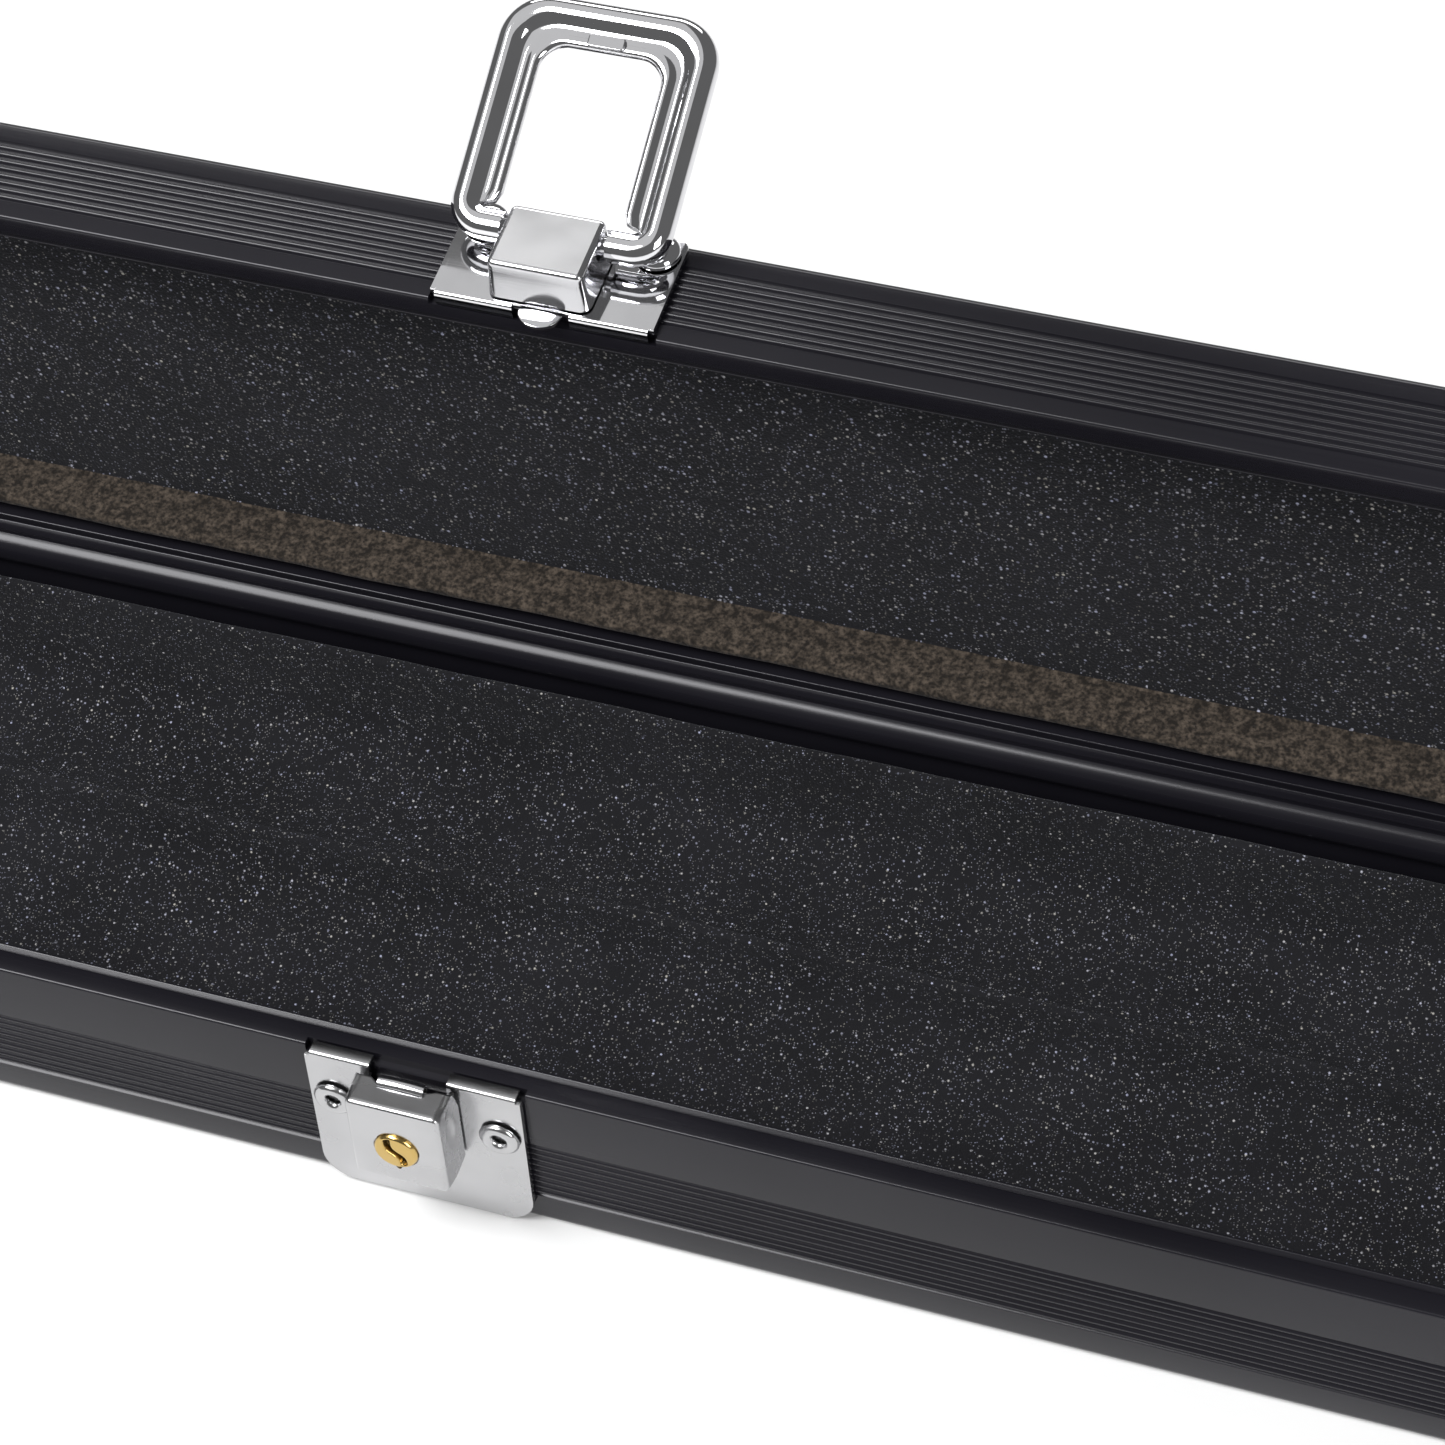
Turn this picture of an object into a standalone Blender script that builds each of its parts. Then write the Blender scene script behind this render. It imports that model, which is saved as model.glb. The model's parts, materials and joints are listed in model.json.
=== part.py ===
"""Slim two-piece cue case: extruded aluminium base and lid on an integral rear hinge.

X runs along the case, -Y is the front with the latches and the handle, +Z is up, and the
origin is the middle of the base's underside.  Every piece is built where it lies with the
case closed, in its body's frame; the frames then turn the lid open and the hasps up.
"""

import math

import bmesh
import bpy
from mathutils import Euler, Matrix, Vector

MM = 0.001

# Case
CASE_LENGTH = 1250.0 * MM
CASE_WIDTH = 66.0 * MM
BASE_HEIGHT = 23.4 * MM
LID_HEIGHT = 14.4 * MM
WALL = 1.5 * MM
CORNER_RADIUS = 1.0 * MM
EDGE_RADIUS = 0.4 * MM
PARTING_GAP = 0.3 * MM
GAP = 0.3 * MM
OPEN_ANGLE = math.radians(82.0)

# Front rim of both shells
RIM_WIDTH = 3.0 * MM
RIM_DEPTH = 2.5 * MM
LIP_WIDTH = 1.4 * MM
LIP_STEP = 0.9 * MM

# Fine ribs on the front and rear walls
RIB_PITCH = 1.04 * MM
RIB_DEPTH = 0.35 * MM
RIB_VALLEY = 0.3 * MM
BASE_RIBS = 9
BASE_RIBS_BELOW_RIM = 8.9 * MM
LID_RIBS = 8
LID_RIBS_ABOVE_RIM = 2.4 * MM

# Rear hinge: a bead on the lid in a socket on the base
SOCKET_OUTER_RADIUS = 2.6 * MM
SOCKET_INNER_RADIUS = 1.75 * MM
BEAD_RADIUS = 1.45 * MM
NECK_THICKNESS = 0.7 * MM
STOP_CLEARANCE = math.radians(5.0)

# End caps
CAP_THICKNESS = 3.0 * MM
PLUG_DEPTH = 9.0 * MM
PLUG_CORNER = 1.0 * MM
CAP_SCREW_RADIUS = 0.9 * MM
CAP_SCREW_HEAD_RADIUS = 1.9 * MM
CAP_SCREW_HEAD_HEIGHT = 0.8 * MM
CAP_SCREW_BITE = 5.0 * MM

# Foam lining
LINING_STANDOFF = 1.4 * MM
LINING_SIDE = 1.7 * MM
LINING_FLOOR = 2.2 * MM
LID_LINING = 2.5 * MM
RIDGE_POSITION = 4.0 * MM
RIDGE_HEIGHT = 13.5 * MM
RIDGE_CREST = 1.6 * MM

# Latch plates, alike on the base and the lid
LATCH_OFFSET = 375.0 * MM
MECHANISM_OFFSET = -0.5 * MM
PLATE_WIDTH = 26.6 * MM
PLATE_THICKNESS = 0.8 * MM
BASE_PLATE_HEIGHT = 23.0 * MM
LID_PLATE_HEIGHT = 13.7 * MM
BASE_PLATE_CORNER = 4.0 * MM
LID_PLATE_CORNER = 1.0 * MM
FLANGE_REACH = 0.7 * MM
FLANGE_INSET = 0.6 * MM
BASE_FLANGE_GAP = 9.6 * MM
LID_FLANGE_GAP = 6.8 * MM
BASE_NOTCH_DEPTH = 3.4 * MM
TONGUE_WIDTH = 5.4 * MM
TONGUE_REACH = 2.3 * MM
RIVET_SPACING = 20.6 * MM
BASE_RIVETS_BELOW_RIM = 7.4 * MM
LID_RIVETS_ABOVE_RIM = 11.2 * MM
RIVET_SHANK_RADIUS = 0.9 * MM
RIVET_TAIL_RADIUS = 1.35 * MM
RIVET_TAIL_HEIGHT = 0.7 * MM
DOME_RADIUS = 2.65 * MM
DOME_HEIGHT = 1.4 * MM
COLLAR_RADIUS = 2.5 * MM
COLLAR_HEIGHT = 0.6 * MM
COLLAR_BORE_RADIUS = 0.85 * MM
COLLAR_BORE_DEPTH = 1.6 * MM

# Hasp: a raised block on the lid and a loop hinged in its sides
BLOCK_WIDTH = 12.3 * MM
BLOCK_LENGTH = 10.0 * MM
BLOCK_ABOVE_RIM = 0.8 * MM
BLOCK_HEIGHT = 5.2 * MM
BLOCK_DRAFT = 0.35 * MM
LOOP_PIVOT_ABOVE_RIM = 8.4 * MM
LOOP_PIVOT_HEIGHT = 3.2 * MM
LOOP_WIRE_RADIUS = 1.8 * MM
LOOP_HALF_WIDTH = 13.2 * MM
LOOP_REACH = 28.0 * MM
LOOP_CORNER = 4.2 * MM
LOOP_CURL = 2.6 * MM
LOOP_PIN_RADIUS = 1.1 * MM
LOOP_PIN_BITE = 1.8 * MM
TAB_WIDTH = 4.4 * MM
TAB_REACH = 1.5 * MM
TAB_THICKNESS = 0.8 * MM
LOOP_REST_ANGLE = math.radians(158.0)

# Lock: a sprung lever over the base plate, with its key and cam
LEVER_WIDTH = 11.6 * MM
LEVER_HEIGHT = 4.9 * MM
LEVER_TOP_BELOW_RIM = 0.2 * MM
LEVER_BOTTOM_BELOW_RIM = 13.6 * MM
LEVER_BACK_BELOW_RIM = 12.2 * MM
LEVER_HEEL_BELOW_RIM = 2.8 * MM
LEVER_TOP_SETBACK = 0.5 * MM
LEVER_SHEET = 0.8 * MM
LEVER_PIVOT_BELOW_RIM = 2.7 * MM
LEVER_PIVOT_HEIGHT = 2.1 * MM
LEVER_WAVE_WIDTH = 10.0 * MM
LEVER_WAVE_DEPTH = 2.1 * MM
PIN_RADIUS = 0.45 * MM
EAR_THICKNESS = 0.8 * MM
EAR_RADIUS = 1.2 * MM
KEEPER_THICKNESS = 0.5 * MM
SPRING_THICKNESS = 0.3 * MM
SPRING_WIDTH = 5.6 * MM
SPRING_RADIUS = 0.9 * MM
SPRING_BEHIND_PIN = 0.65 * MM
SPRING_PROUD = 0.5 * MM
SPRING_TAIL = 3.0 * MM
KEY_BELOW_RIM = 7.4 * MM
KEY_RADIUS = 2.7 * MM
KEY_PROUD = 0.6 * MM
KEY_DEPTH = 3.1 * MM
KEY_SLOT_WIDTH = 0.8 * MM
CAM_THICKNESS = 0.6 * MM
CAM_REACH = 3.4 * MM
CAM_WIDTH = 1.8 * MM

# Carrying handle
HANDLE_SPAN = 118.0 * MM
HANDLE_REACH = 29.0 * MM
HANDLE_LEG = 9.0 * MM
HANDLE_GRIP = 11.0 * MM
HANDLE_THICKNESS = 9.0 * MM
HANDLE_CORNER = 9.0 * MM
HANDLE_BEVEL = 2.2 * MM
HANDLE_EYE = 4.5 * MM
HANDLE_PIVOT_HEIGHT = 6.9 * MM
HANDLE_PIN_RADIUS = 1.4 * MM
HANDLE_DROOP = math.radians(14.0)
BRACKET_WIDTH = 26.0 * MM
BRACKET_HEIGHT = 14.0 * MM
BRACKET_SHEET = 1.2 * MM
BRACKET_EAR = 1.5 * MM
BRACKET_RIVET_SPACING = 20.0 * MM

# Worked out from the sizes above
HALF_WIDTH = CASE_WIDTH / 2
FRONT = -HALF_WIDTH
REAR = HALF_WIDTH
LID_RIM = BASE_HEIGHT + PARTING_GAP
LID_TOP = LID_RIM + LID_HEIGHT
HINGE_Y = REAR
HINGE_Z = BASE_HEIGHT + PARTING_GAP / 2
SHELL_LENGTH = CASE_LENGTH - 2 * (CAP_THICKNESS + GAP)
LINING_LENGTH = SHELL_LENGTH - 2 * (PLUG_DEPTH + GAP)
INNER = HALF_WIDTH - WALL
PLATE_FRONT = FRONT - GAP - PLATE_THICKNESS
SEAT = PLATE_FRONT - GAP
HOLE_RADIUS = RIVET_SHANK_RADIUS + GAP
LOOP_PIVOT_Y = PLATE_FRONT - LOOP_PIVOT_HEIGHT
LOOP_PIVOT_Z = LID_RIM + LOOP_PIVOT_ABOVE_RIM
LEVER_PIVOT_Y = PLATE_FRONT - LEVER_PIVOT_HEIGHT
LEVER_PIVOT_Z = BASE_HEIGHT - LEVER_PIVOT_BELOW_RIM
LEVER_FRONT = SEAT - LEVER_HEIGHT
KEY_Z = BASE_HEIGHT - KEY_BELOW_RIM
BASE_RIVET_Z = BASE_HEIGHT - BASE_RIVETS_BELOW_RIM
LID_RIVET_Z = LID_RIM + LID_RIVETS_ABOVE_RIM
PLUG_LOW = WALL + GAP
BASE_PLUG_HIGH = BASE_HEIGHT - RIM_DEPTH - GAP
LID_PLUG_LOW = LID_RIM + RIM_DEPTH + GAP
LID_PLUG_HIGH = LID_TOP - WALL - GAP
BASE_SCREW_Z = (PLUG_LOW + BASE_PLUG_HIGH) / 2
LID_SCREW_Z = (LID_PLUG_LOW + LID_PLUG_HIGH) / 2
CAP_SCREW_X = SHELL_LENGTH / 2 - PLUG_DEPTH / 2
HANDLE_PIVOT_Y = FRONT - GAP - BRACKET_SHEET - HANDLE_PIVOT_HEIGHT
HANDLE_PIVOT_Z = BASE_HEIGHT / 2
HANDLE_LEG_X = HANDLE_SPAN / 2 - HANDLE_LEG / 2
SIDES = {"left": -1, "right": 1}


# --- scene, frames and pieces ------------------------------------------------------------

def clear_scene():
    """Remove every object that the scene holds."""
    for item in list(bpy.data.objects):
        bpy.data.objects.remove(item, do_unlink=True)


def new_collection(name):
    """A collection linked to the scene."""
    collection = bpy.data.collections.new(name)
    bpy.context.scene.collection.children.link(collection)
    return collection


def new_material(name, colour, metallic, roughness):
    """A Principled material of one colour."""
    material = bpy.data.materials.new(name)
    material.use_nodes = True
    shader = material.node_tree.nodes["Principled BSDF"]
    shader.inputs["Base Color"].default_value = (*colour, 1.0)
    shader.inputs["Metallic"].default_value = metallic
    shader.inputs["Roughness"].default_value = roughness
    return material


clear_scene()
PARTS = new_collection("cue_case")
CUTTERS = new_collection("cutters")
ANODISED = new_material("black_anodised", (0.018, 0.017, 0.020), 0.9, 0.38)
CHROME = new_material("chrome", (0.80, 0.80, 0.81), 1.0, 0.10)
BRASS = new_material("brass", (0.78, 0.56, 0.22), 1.0, 0.25)
STEEL = new_material("spring_steel", (0.62, 0.62, 0.64), 1.0, 0.22)
FOAM = new_material("charcoal_foam", (0.030, 0.030, 0.033), 0.0, 0.95)
PLASTIC = new_material("black_plastic", (0.015, 0.015, 0.016), 0.0, 0.45)


class Frame:
    """A body's own frame: an empty, and where its origin lies with the case closed."""

    def __init__(self, name, origin, parent=None, turn_x=0.0):
        self.origin = Vector(origin)
        self.empty = bpy.data.objects.new(name, None)
        self.empty.location = self.origin - (parent.origin if parent else Vector())
        self.empty.rotation_euler = Euler((turn_x, 0.0, 0.0))
        self.empty.parent = parent.empty if parent else None
        PARTS.objects.link(self.empty)


def place(item, frame, collection):
    """Link an object whose mesh lies where the closed case has it, and hang it on a frame."""
    item.data.transform(Matrix.Translation(-frame.origin))
    item.parent = frame.empty
    collection.objects.link(item)


def add_piece(name, mesh, material, frame):
    """One named solid of the object."""
    piece = bpy.data.objects.new(name, mesh)
    mesh.materials.clear()
    mesh.materials.append(material)
    mesh.set_sharp_from_angle(angle=math.radians(35.0))
    place(piece, frame, PARTS)
    return piece


def combine(piece, mesh, frame, operation):
    """Cut a piece with a mesh, or join the mesh to it."""
    tool = bpy.data.objects.new(piece.name + "_" + operation.lower(), mesh)
    tool.hide_render = True
    tool.display_type = "WIRE"
    place(tool, frame, CUTTERS)
    modifier = piece.modifiers.new(operation.lower(), "BOOLEAN")
    modifier.operation = operation
    modifier.solver = "EXACT"
    modifier.object = tool


def cut(piece, mesh, frame):
    """Take a mesh's volume out of a piece."""
    combine(piece, mesh, frame, "DIFFERENCE")


def join(piece, mesh, frame):
    """Add a mesh's volume to a piece."""
    combine(piece, mesh, frame, "UNION")


# --- shapes --------------------------------------------------------------------------------

PLANES = {
    "YZ": Euler((math.pi / 2, 0.0, math.pi / 2)).to_matrix().to_4x4(),
    "XZ": Euler((math.pi / 2, 0.0, 0.0)).to_matrix().to_4x4(),
    "XY": Matrix.Identity(4),
}
AXES = {
    "+X": Euler((0.0, math.pi / 2, 0.0)).to_matrix().to_4x4(),
    "+Y": Euler((-math.pi / 2, 0.0, 0.0)).to_matrix().to_4x4(),
    "-Y": Euler((math.pi / 2, 0.0, 0.0)).to_matrix().to_4x4(),
}


def arc(centre_u, centre_v, radius, start, end, steps):
    """Points on an arc, from one angle in degrees to another, both ends included."""
    points = []
    for index in range(steps + 1):
        angle = math.radians(start + (end - start) * index / steps)
        points.append((centre_u + radius * math.cos(angle), centre_v + radius * math.sin(angle)))
    return points


def rounded_box(low_u, high_u, low_v, high_v, low_radius, high_radius, steps=4):
    """Outline of a rectangle with one radius on its lower corners and one on its upper."""
    return (arc(low_u + low_radius, low_v + low_radius, low_radius, 180, 270, steps)
            + arc(high_u - low_radius, low_v + low_radius, low_radius, 270, 360, steps)
            + arc(high_u - high_radius, high_v - high_radius, high_radius, 0, 90, steps)
            + arc(low_u + high_radius, high_v - high_radius, high_radius, 90, 180, steps))


def evaluated_mesh(item):
    """The welded, outward-facing mesh of a curve or of a mesh with modifiers."""
    bpy.context.scene.collection.objects.link(item)
    graph = bpy.context.evaluated_depsgraph_get()
    mesh = bpy.data.meshes.new_from_object(item.evaluated_get(graph))
    bpy.data.objects.remove(item, do_unlink=True)
    shape = bmesh.new()
    shape.from_mesh(mesh)
    bmesh.ops.remove_doubles(shape, verts=shape.verts, dist=1e-6)
    bmesh.ops.recalc_face_normals(shape, faces=shape.faces)
    shape.to_mesh(mesh)
    shape.free()
    return mesh


def outline_solid(points, depth, plane, centre=(0.0, 0.0, 0.0)):
    """A closed flat outline pulled to half its depth on both sides of its plane."""
    curve = bpy.data.curves.new("outline", "CURVE")
    curve.dimensions = "2D"
    curve.fill_mode = "BOTH"
    curve.extrude = depth / 2
    spline = curve.splines.new("POLY")
    spline.points.add(len(points) - 1)
    for point, (across, up) in zip(spline.points, points):
        point.co = (across, up, 0.0, 1.0)
    spline.use_cyclic_u = True
    mesh = evaluated_mesh(bpy.data.objects.new("outline", curve))
    mesh.transform(Matrix.Translation(centre) @ PLANES[plane])
    return mesh


def box(low, high):
    """A block between two corners."""
    low, high = Vector(low), Vector(high)
    shape = bmesh.new()
    bmesh.ops.create_cube(shape, size=1.0)
    bmesh.ops.scale(shape, vec=high - low, verts=shape.verts)
    bmesh.ops.translate(shape, vec=(low + high) / 2, verts=shape.verts)
    mesh = bpy.data.meshes.new("box")
    shape.to_mesh(mesh)
    shape.free()
    return mesh


def cylinder(centre, axis, radius, length, segments=16):
    """A round bar about its centre."""
    shape = bmesh.new()
    bmesh.ops.create_cone(shape, cap_ends=True, segments=segments, radius1=radius,
                          radius2=radius, depth=length)
    mesh = bpy.data.meshes.new("cylinder")
    shape.to_mesh(mesh)
    shape.free()
    mesh.transform(Matrix.Translation(centre) @ AXES[axis])
    return mesh


def gathered(meshes):
    """Several separate cutters as one mesh."""
    shape = bmesh.new()
    for mesh in meshes:
        shape.from_mesh(mesh)
    mesh = bpy.data.meshes.new("gathered")
    shape.to_mesh(mesh)
    shape.free()
    return mesh


def turned(profile, place_at, axis, steps=16):
    """A profile of (radius, height) points, top to bottom, turned about its own axis."""
    mesh = bpy.data.meshes.new("profile")
    verts = [(radius, 0.0, height) for radius, height in profile]
    edges = [(index, index + 1) for index in range(len(profile) - 1)]
    mesh.from_pydata(verts, edges, [])
    item = bpy.data.objects.new("profile", mesh)
    screw = item.modifiers.new("screw", "SCREW")
    screw.steps = steps
    screw.render_steps = steps
    screw.use_merge_vertices = True
    screw.merge_threshold = 1e-6
    solid = evaluated_mesh(item)
    solid.transform(Matrix.Translation(place_at) @ AXES[axis])
    return solid


def tube(points, radius, sides):
    """A round wire along a list of points, closed at its ends."""
    curve = bpy.data.curves.new("wire", "CURVE")
    curve.dimensions = "3D"
    curve.bevel_depth = radius
    curve.bevel_resolution = sides // 4
    curve.use_fill_caps = True
    spline = curve.splines.new("POLY")
    spline.points.add(len(points) - 1)
    for point, place_at in zip(spline.points, points):
        point.co = (*place_at, 1.0)
    return evaluated_mesh(bpy.data.objects.new("wire", curve))


# --- shells ----------------------------------------------------------------------------------

def rib_band(face, inward, low, count):
    """Points up a wall's outer face through a band of ribs whose crests are flush with it."""
    points = []
    for index in range(count):
        foot = low + index * RIB_PITCH
        crest_start = foot + RIB_VALLEY
        crest_end = foot + RIB_PITCH
        points.append((face, foot))
        points.append((face + inward * RIB_DEPTH, foot + RIB_VALLEY / 3))
        points.append((face + inward * RIB_DEPTH, foot + 2 * RIB_VALLEY / 3))
        points.append((face, crest_start))
    points.append((face, crest_end))
    points.append((face + inward * RIB_DEPTH, crest_end + RIB_VALLEY / 3))
    points.append((face + inward * RIB_DEPTH, crest_end + 2 * RIB_VALLEY / 3))
    points.append((face, crest_end + RIB_VALLEY))
    return points


def mirrored_up(points, height):
    """The same points turned upside down about a height, in the opposite order."""
    return [(across, 2 * height - up) for across, up in reversed(points)]


def front_rim(rim):
    """The front rim of the base, from its outer edge over the rim to the lip's underside."""
    rim_inner = FRONT + RIM_WIDTH
    lip_inner = rim_inner + LIP_WIDTH
    lip_top = rim - LIP_STEP
    return (arc(FRONT + EDGE_RADIUS, rim - EDGE_RADIUS, EDGE_RADIUS, 180, 90, 3)
            + arc(rim_inner - EDGE_RADIUS / 2, rim - EDGE_RADIUS / 2, EDGE_RADIUS / 2, 90, 0, 2)
            + [(rim_inner, lip_top)]
            + arc(lip_inner - EDGE_RADIUS, lip_top - EDGE_RADIUS, EDGE_RADIUS, 90, 0, 3)
            + [(lip_inner, rim - RIM_DEPTH), (-INNER, rim - RIM_DEPTH)])


def socket_angles():
    """Where the socket's opening ends, in degrees: above the closed neck, below the open one."""
    neck = math.asin(NECK_THICKNESS / 2 / SOCKET_INNER_RADIUS)
    closed_end = math.degrees(math.pi / 2 + neck + STOP_CLEARANCE)
    open_end = math.degrees(2 * math.pi + math.pi / 2 - OPEN_ANGLE - neck - STOP_CLEARANCE)
    return closed_end, open_end


def base_profile():
    """Cross-section of the base: a tray with a front rim and a rear hinge socket."""
    closed_end, open_end = socket_angles()
    wall_meets = 180 + math.degrees(math.acos(WALL / SOCKET_OUTER_RADIUS))
    wall_top = HINGE_Z - math.sqrt(SOCKET_OUTER_RADIUS ** 2 - WALL ** 2)
    ribs_low = BASE_HEIGHT - BASE_RIBS_BELOW_RIM - BASE_RIBS * RIB_PITCH - RIB_VALLEY
    radius = CORNER_RADIUS
    return (arc(FRONT + radius, radius, radius, 270, 180, 5)
            + rib_band(FRONT, 1, ribs_low, BASE_RIBS)
            + front_rim(BASE_HEIGHT)
            + [(-INNER, WALL), (INNER, WALL), (INNER, wall_top)]
            + arc(HINGE_Y, HINGE_Z, SOCKET_OUTER_RADIUS, wall_meets, closed_end, 12)[1:]
            + arc(HINGE_Y, HINGE_Z, SOCKET_INNER_RADIUS, closed_end, open_end, 18)
            + arc(HINGE_Y, HINGE_Z, SOCKET_OUTER_RADIUS, open_end, 270, 7)
            + rib_band(REAR, -1, ribs_low, BASE_RIBS)[::-1]
            + arc(REAR - radius, radius, radius, 0, -90, 5))


def lid_profile():
    """Cross-section of the lid, closed: a shallow tray upside down with the hinge bead."""
    ribs_low = LID_RIM + LID_RIBS_ABOVE_RIM
    radius = CORNER_RADIUS
    wall_foot = HINGE_Z + SOCKET_OUTER_RADIUS + GAP
    neck = NECK_THICKNESS / 2
    rim = mirrored_up(front_rim(LID_RIM), LID_RIM)
    neck_angle = math.degrees(math.asin(neck / BEAD_RADIUS))
    return (rim
            + rib_band(FRONT, 1, ribs_low, LID_RIBS)
            + arc(FRONT + radius, LID_TOP - radius, radius, 180, 90, 5)
            + arc(REAR - radius, LID_TOP - radius, radius, 90, 0, 5)
            + rib_band(REAR, -1, ribs_low + RIM_WIDTH / 2, LID_RIBS - 1)[::-1]
            + [(REAR, wall_foot + 2 * neck), (HINGE_Y + neck, wall_foot + neck)]
            + arc(HINGE_Y, HINGE_Z, BEAD_RADIUS, 90 - neck_angle, -270 + neck_angle, 16)
            + [(HINGE_Y - neck, wall_foot), (INNER, wall_foot)]
            + [(INNER, LID_TOP - WALL), (-INNER, LID_TOP - WALL)])


def wall_holes(centres, wall_face, height, radius):
    """Round cutters through a front or rear wall, at several places along the case."""
    return [cylinder((along, wall_face, height), "-Y", radius, 4 * WALL, 10)
            for along in centres]


def latch_rivet_places():
    """Where the latch rivets stand along the case."""
    return [side * LATCH_OFFSET + half * RIVET_SPACING / 2
            for side in SIDES.values() for half in SIDES.values()]


def handle_rivet_places():
    """Where the handle's rivets stand along the case."""
    return [side * HANDLE_LEG_X + half * BRACKET_RIVET_SPACING / 2
            for side in SIDES.values() for half in SIDES.values()]


def rim_recess(side, low, high):
    """The pocket in a front rim that takes a latch plate's flange."""
    half = PLATE_WIDTH / 2 + GAP
    centre = SIDES[side] * LATCH_OFFSET
    return box((centre - half, FRONT - RIM_WIDTH, low),
               (centre + half, FRONT + FLANGE_REACH + GAP, high))


def build_shells(base, lid):
    """The two extrusions, with their holes and flange pockets."""
    cap_screws = [side * CAP_SCREW_X for side in SIDES.values()]
    pocket = PLATE_THICKNESS + GAP
    middle = (FRONT + REAR) / 2
    shell = add_piece("base_shell", outline_solid(base_profile(), SHELL_LENGTH, "YZ",
                                                  (0.0, middle, 0.0)), ANODISED, base)
    cut(shell, gathered(
        wall_holes(latch_rivet_places(), FRONT + WALL / 2, BASE_RIVET_Z, HOLE_RADIUS)
        + wall_holes(handle_rivet_places(), FRONT + WALL / 2, HANDLE_PIVOT_Z, HOLE_RADIUS)
        + wall_holes(cap_screws, FRONT + WALL / 2, BASE_SCREW_Z, CAP_SCREW_RADIUS + GAP)
        + wall_holes(cap_screws, REAR - WALL / 2, BASE_SCREW_Z, CAP_SCREW_RADIUS + GAP)), base)
    cut(shell, gathered([rim_recess(side, BASE_HEIGHT - pocket, BASE_HEIGHT + pocket)
                         for side in SIDES]), base)
    shell = add_piece("lid_shell", outline_solid(lid_profile(), SHELL_LENGTH, "YZ",
                                                 (0.0, middle, 0.0)), ANODISED, lid)
    cut(shell, gathered(
        wall_holes(latch_rivet_places(), FRONT + WALL / 2, LID_RIVET_Z, HOLE_RADIUS)
        + wall_holes(cap_screws, FRONT + WALL / 2, LID_SCREW_Z, CAP_SCREW_RADIUS + GAP)
        + wall_holes(cap_screws, REAR - WALL / 2, LID_SCREW_Z, CAP_SCREW_RADIUS + GAP)), lid)
    cut(shell, gathered([rim_recess(side, LID_RIM - pocket, LID_RIM + pocket)
                         for side in SIDES]), lid)


# --- end caps ---------------------------------------------------------------------------------

def end_cap(name, side, frame, plate, plug, screw_z):
    """A moulded cap: a plate over the shell's end and a plug inside it, drilled for screws."""
    outer = side * (CASE_LENGTH / 2 - CAP_THICKNESS / 2)
    plug_start = CASE_LENGTH / 2 - CAP_THICKNESS * 3 / 4
    plug_end = SHELL_LENGTH / 2 - PLUG_DEPTH
    plug_centre = side * (plug_start + plug_end) / 2
    cap = add_piece(name, outline_solid(plate, CAP_THICKNESS, "YZ", (outer, 0.0, 0.0)),
                    PLASTIC, frame)
    join(cap, outline_solid(plug, plug_start - plug_end, "YZ", (plug_centre, 0.0, 0.0)), frame)
    bite = 2 * (CAP_SCREW_BITE + GAP)
    for face in (-INNER + GAP, INNER - GAP):
        cut(cap, cylinder((side * CAP_SCREW_X, face, screw_z), "-Y",
                          CAP_SCREW_RADIUS + GAP, bite, 10), frame)


def cap_screw(name, side, face, height, frame):
    """A small domed screw through a wall into a cap's plug."""
    profile = (arc(0.0, 0.0, 1.0, 90, 0, 4))
    head = [(CAP_SCREW_HEAD_RADIUS * across, GAP + CAP_SCREW_HEAD_HEIGHT * up)
            for across, up in profile]
    shank_end = -(WALL + GAP + CAP_SCREW_BITE)
    profile = head + [(CAP_SCREW_RADIUS, GAP), (CAP_SCREW_RADIUS, shank_end), (0.0, shank_end)]
    axis = "-Y" if face < 0 else "+Y"
    add_piece(name, turned(profile, (side * CAP_SCREW_X, face, height), axis, 12), STEEL, frame)


def build_caps(base, lid):
    """Four end caps and their eight screws."""
    corner, edge, plug_corner = CORNER_RADIUS, EDGE_RADIUS, PLUG_CORNER
    plug_face = INNER - GAP
    base_plate = rounded_box(FRONT, REAR, 0.0, BASE_HEIGHT, corner, edge)
    base_plug = rounded_box(-plug_face, plug_face, PLUG_LOW, BASE_PLUG_HIGH,
                            plug_corner, plug_corner, 3)
    lid_plate = rounded_box(FRONT, REAR, LID_RIM, LID_TOP, edge, corner)
    lid_plug = rounded_box(-plug_face, plug_face, LID_PLUG_LOW, LID_PLUG_HIGH,
                           plug_corner, plug_corner, 3)
    for word, side in SIDES.items():
        end_cap("base_cap_" + word, side, base, base_plate, base_plug, BASE_SCREW_Z)
        end_cap("lid_cap_" + word, side, lid, lid_plate, lid_plug, LID_SCREW_Z)
        for where, face in (("front", FRONT), ("rear", REAR)):
            cap_screw("base_screw_%s_%s" % (where, word), side, face, BASE_SCREW_Z, base)
            cap_screw("lid_screw_%s_%s" % (where, word), side, face, LID_SCREW_Z, lid)


# --- foam linings -----------------------------------------------------------------------------

def trough(low_y, high_y, rim_z, floor_z, steps):
    """A smooth hollow between two heights: half an ellipse, from its front edge to its rear."""
    centre, reach = (low_y + high_y) / 2, (high_y - low_y) / 2
    return [(centre - reach * math.cos(math.pi * index / steps),
             rim_z - (rim_z - floor_z) * math.sin(math.pi * index / steps) ** 0.7)
            for index in range(steps + 1)]


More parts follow.
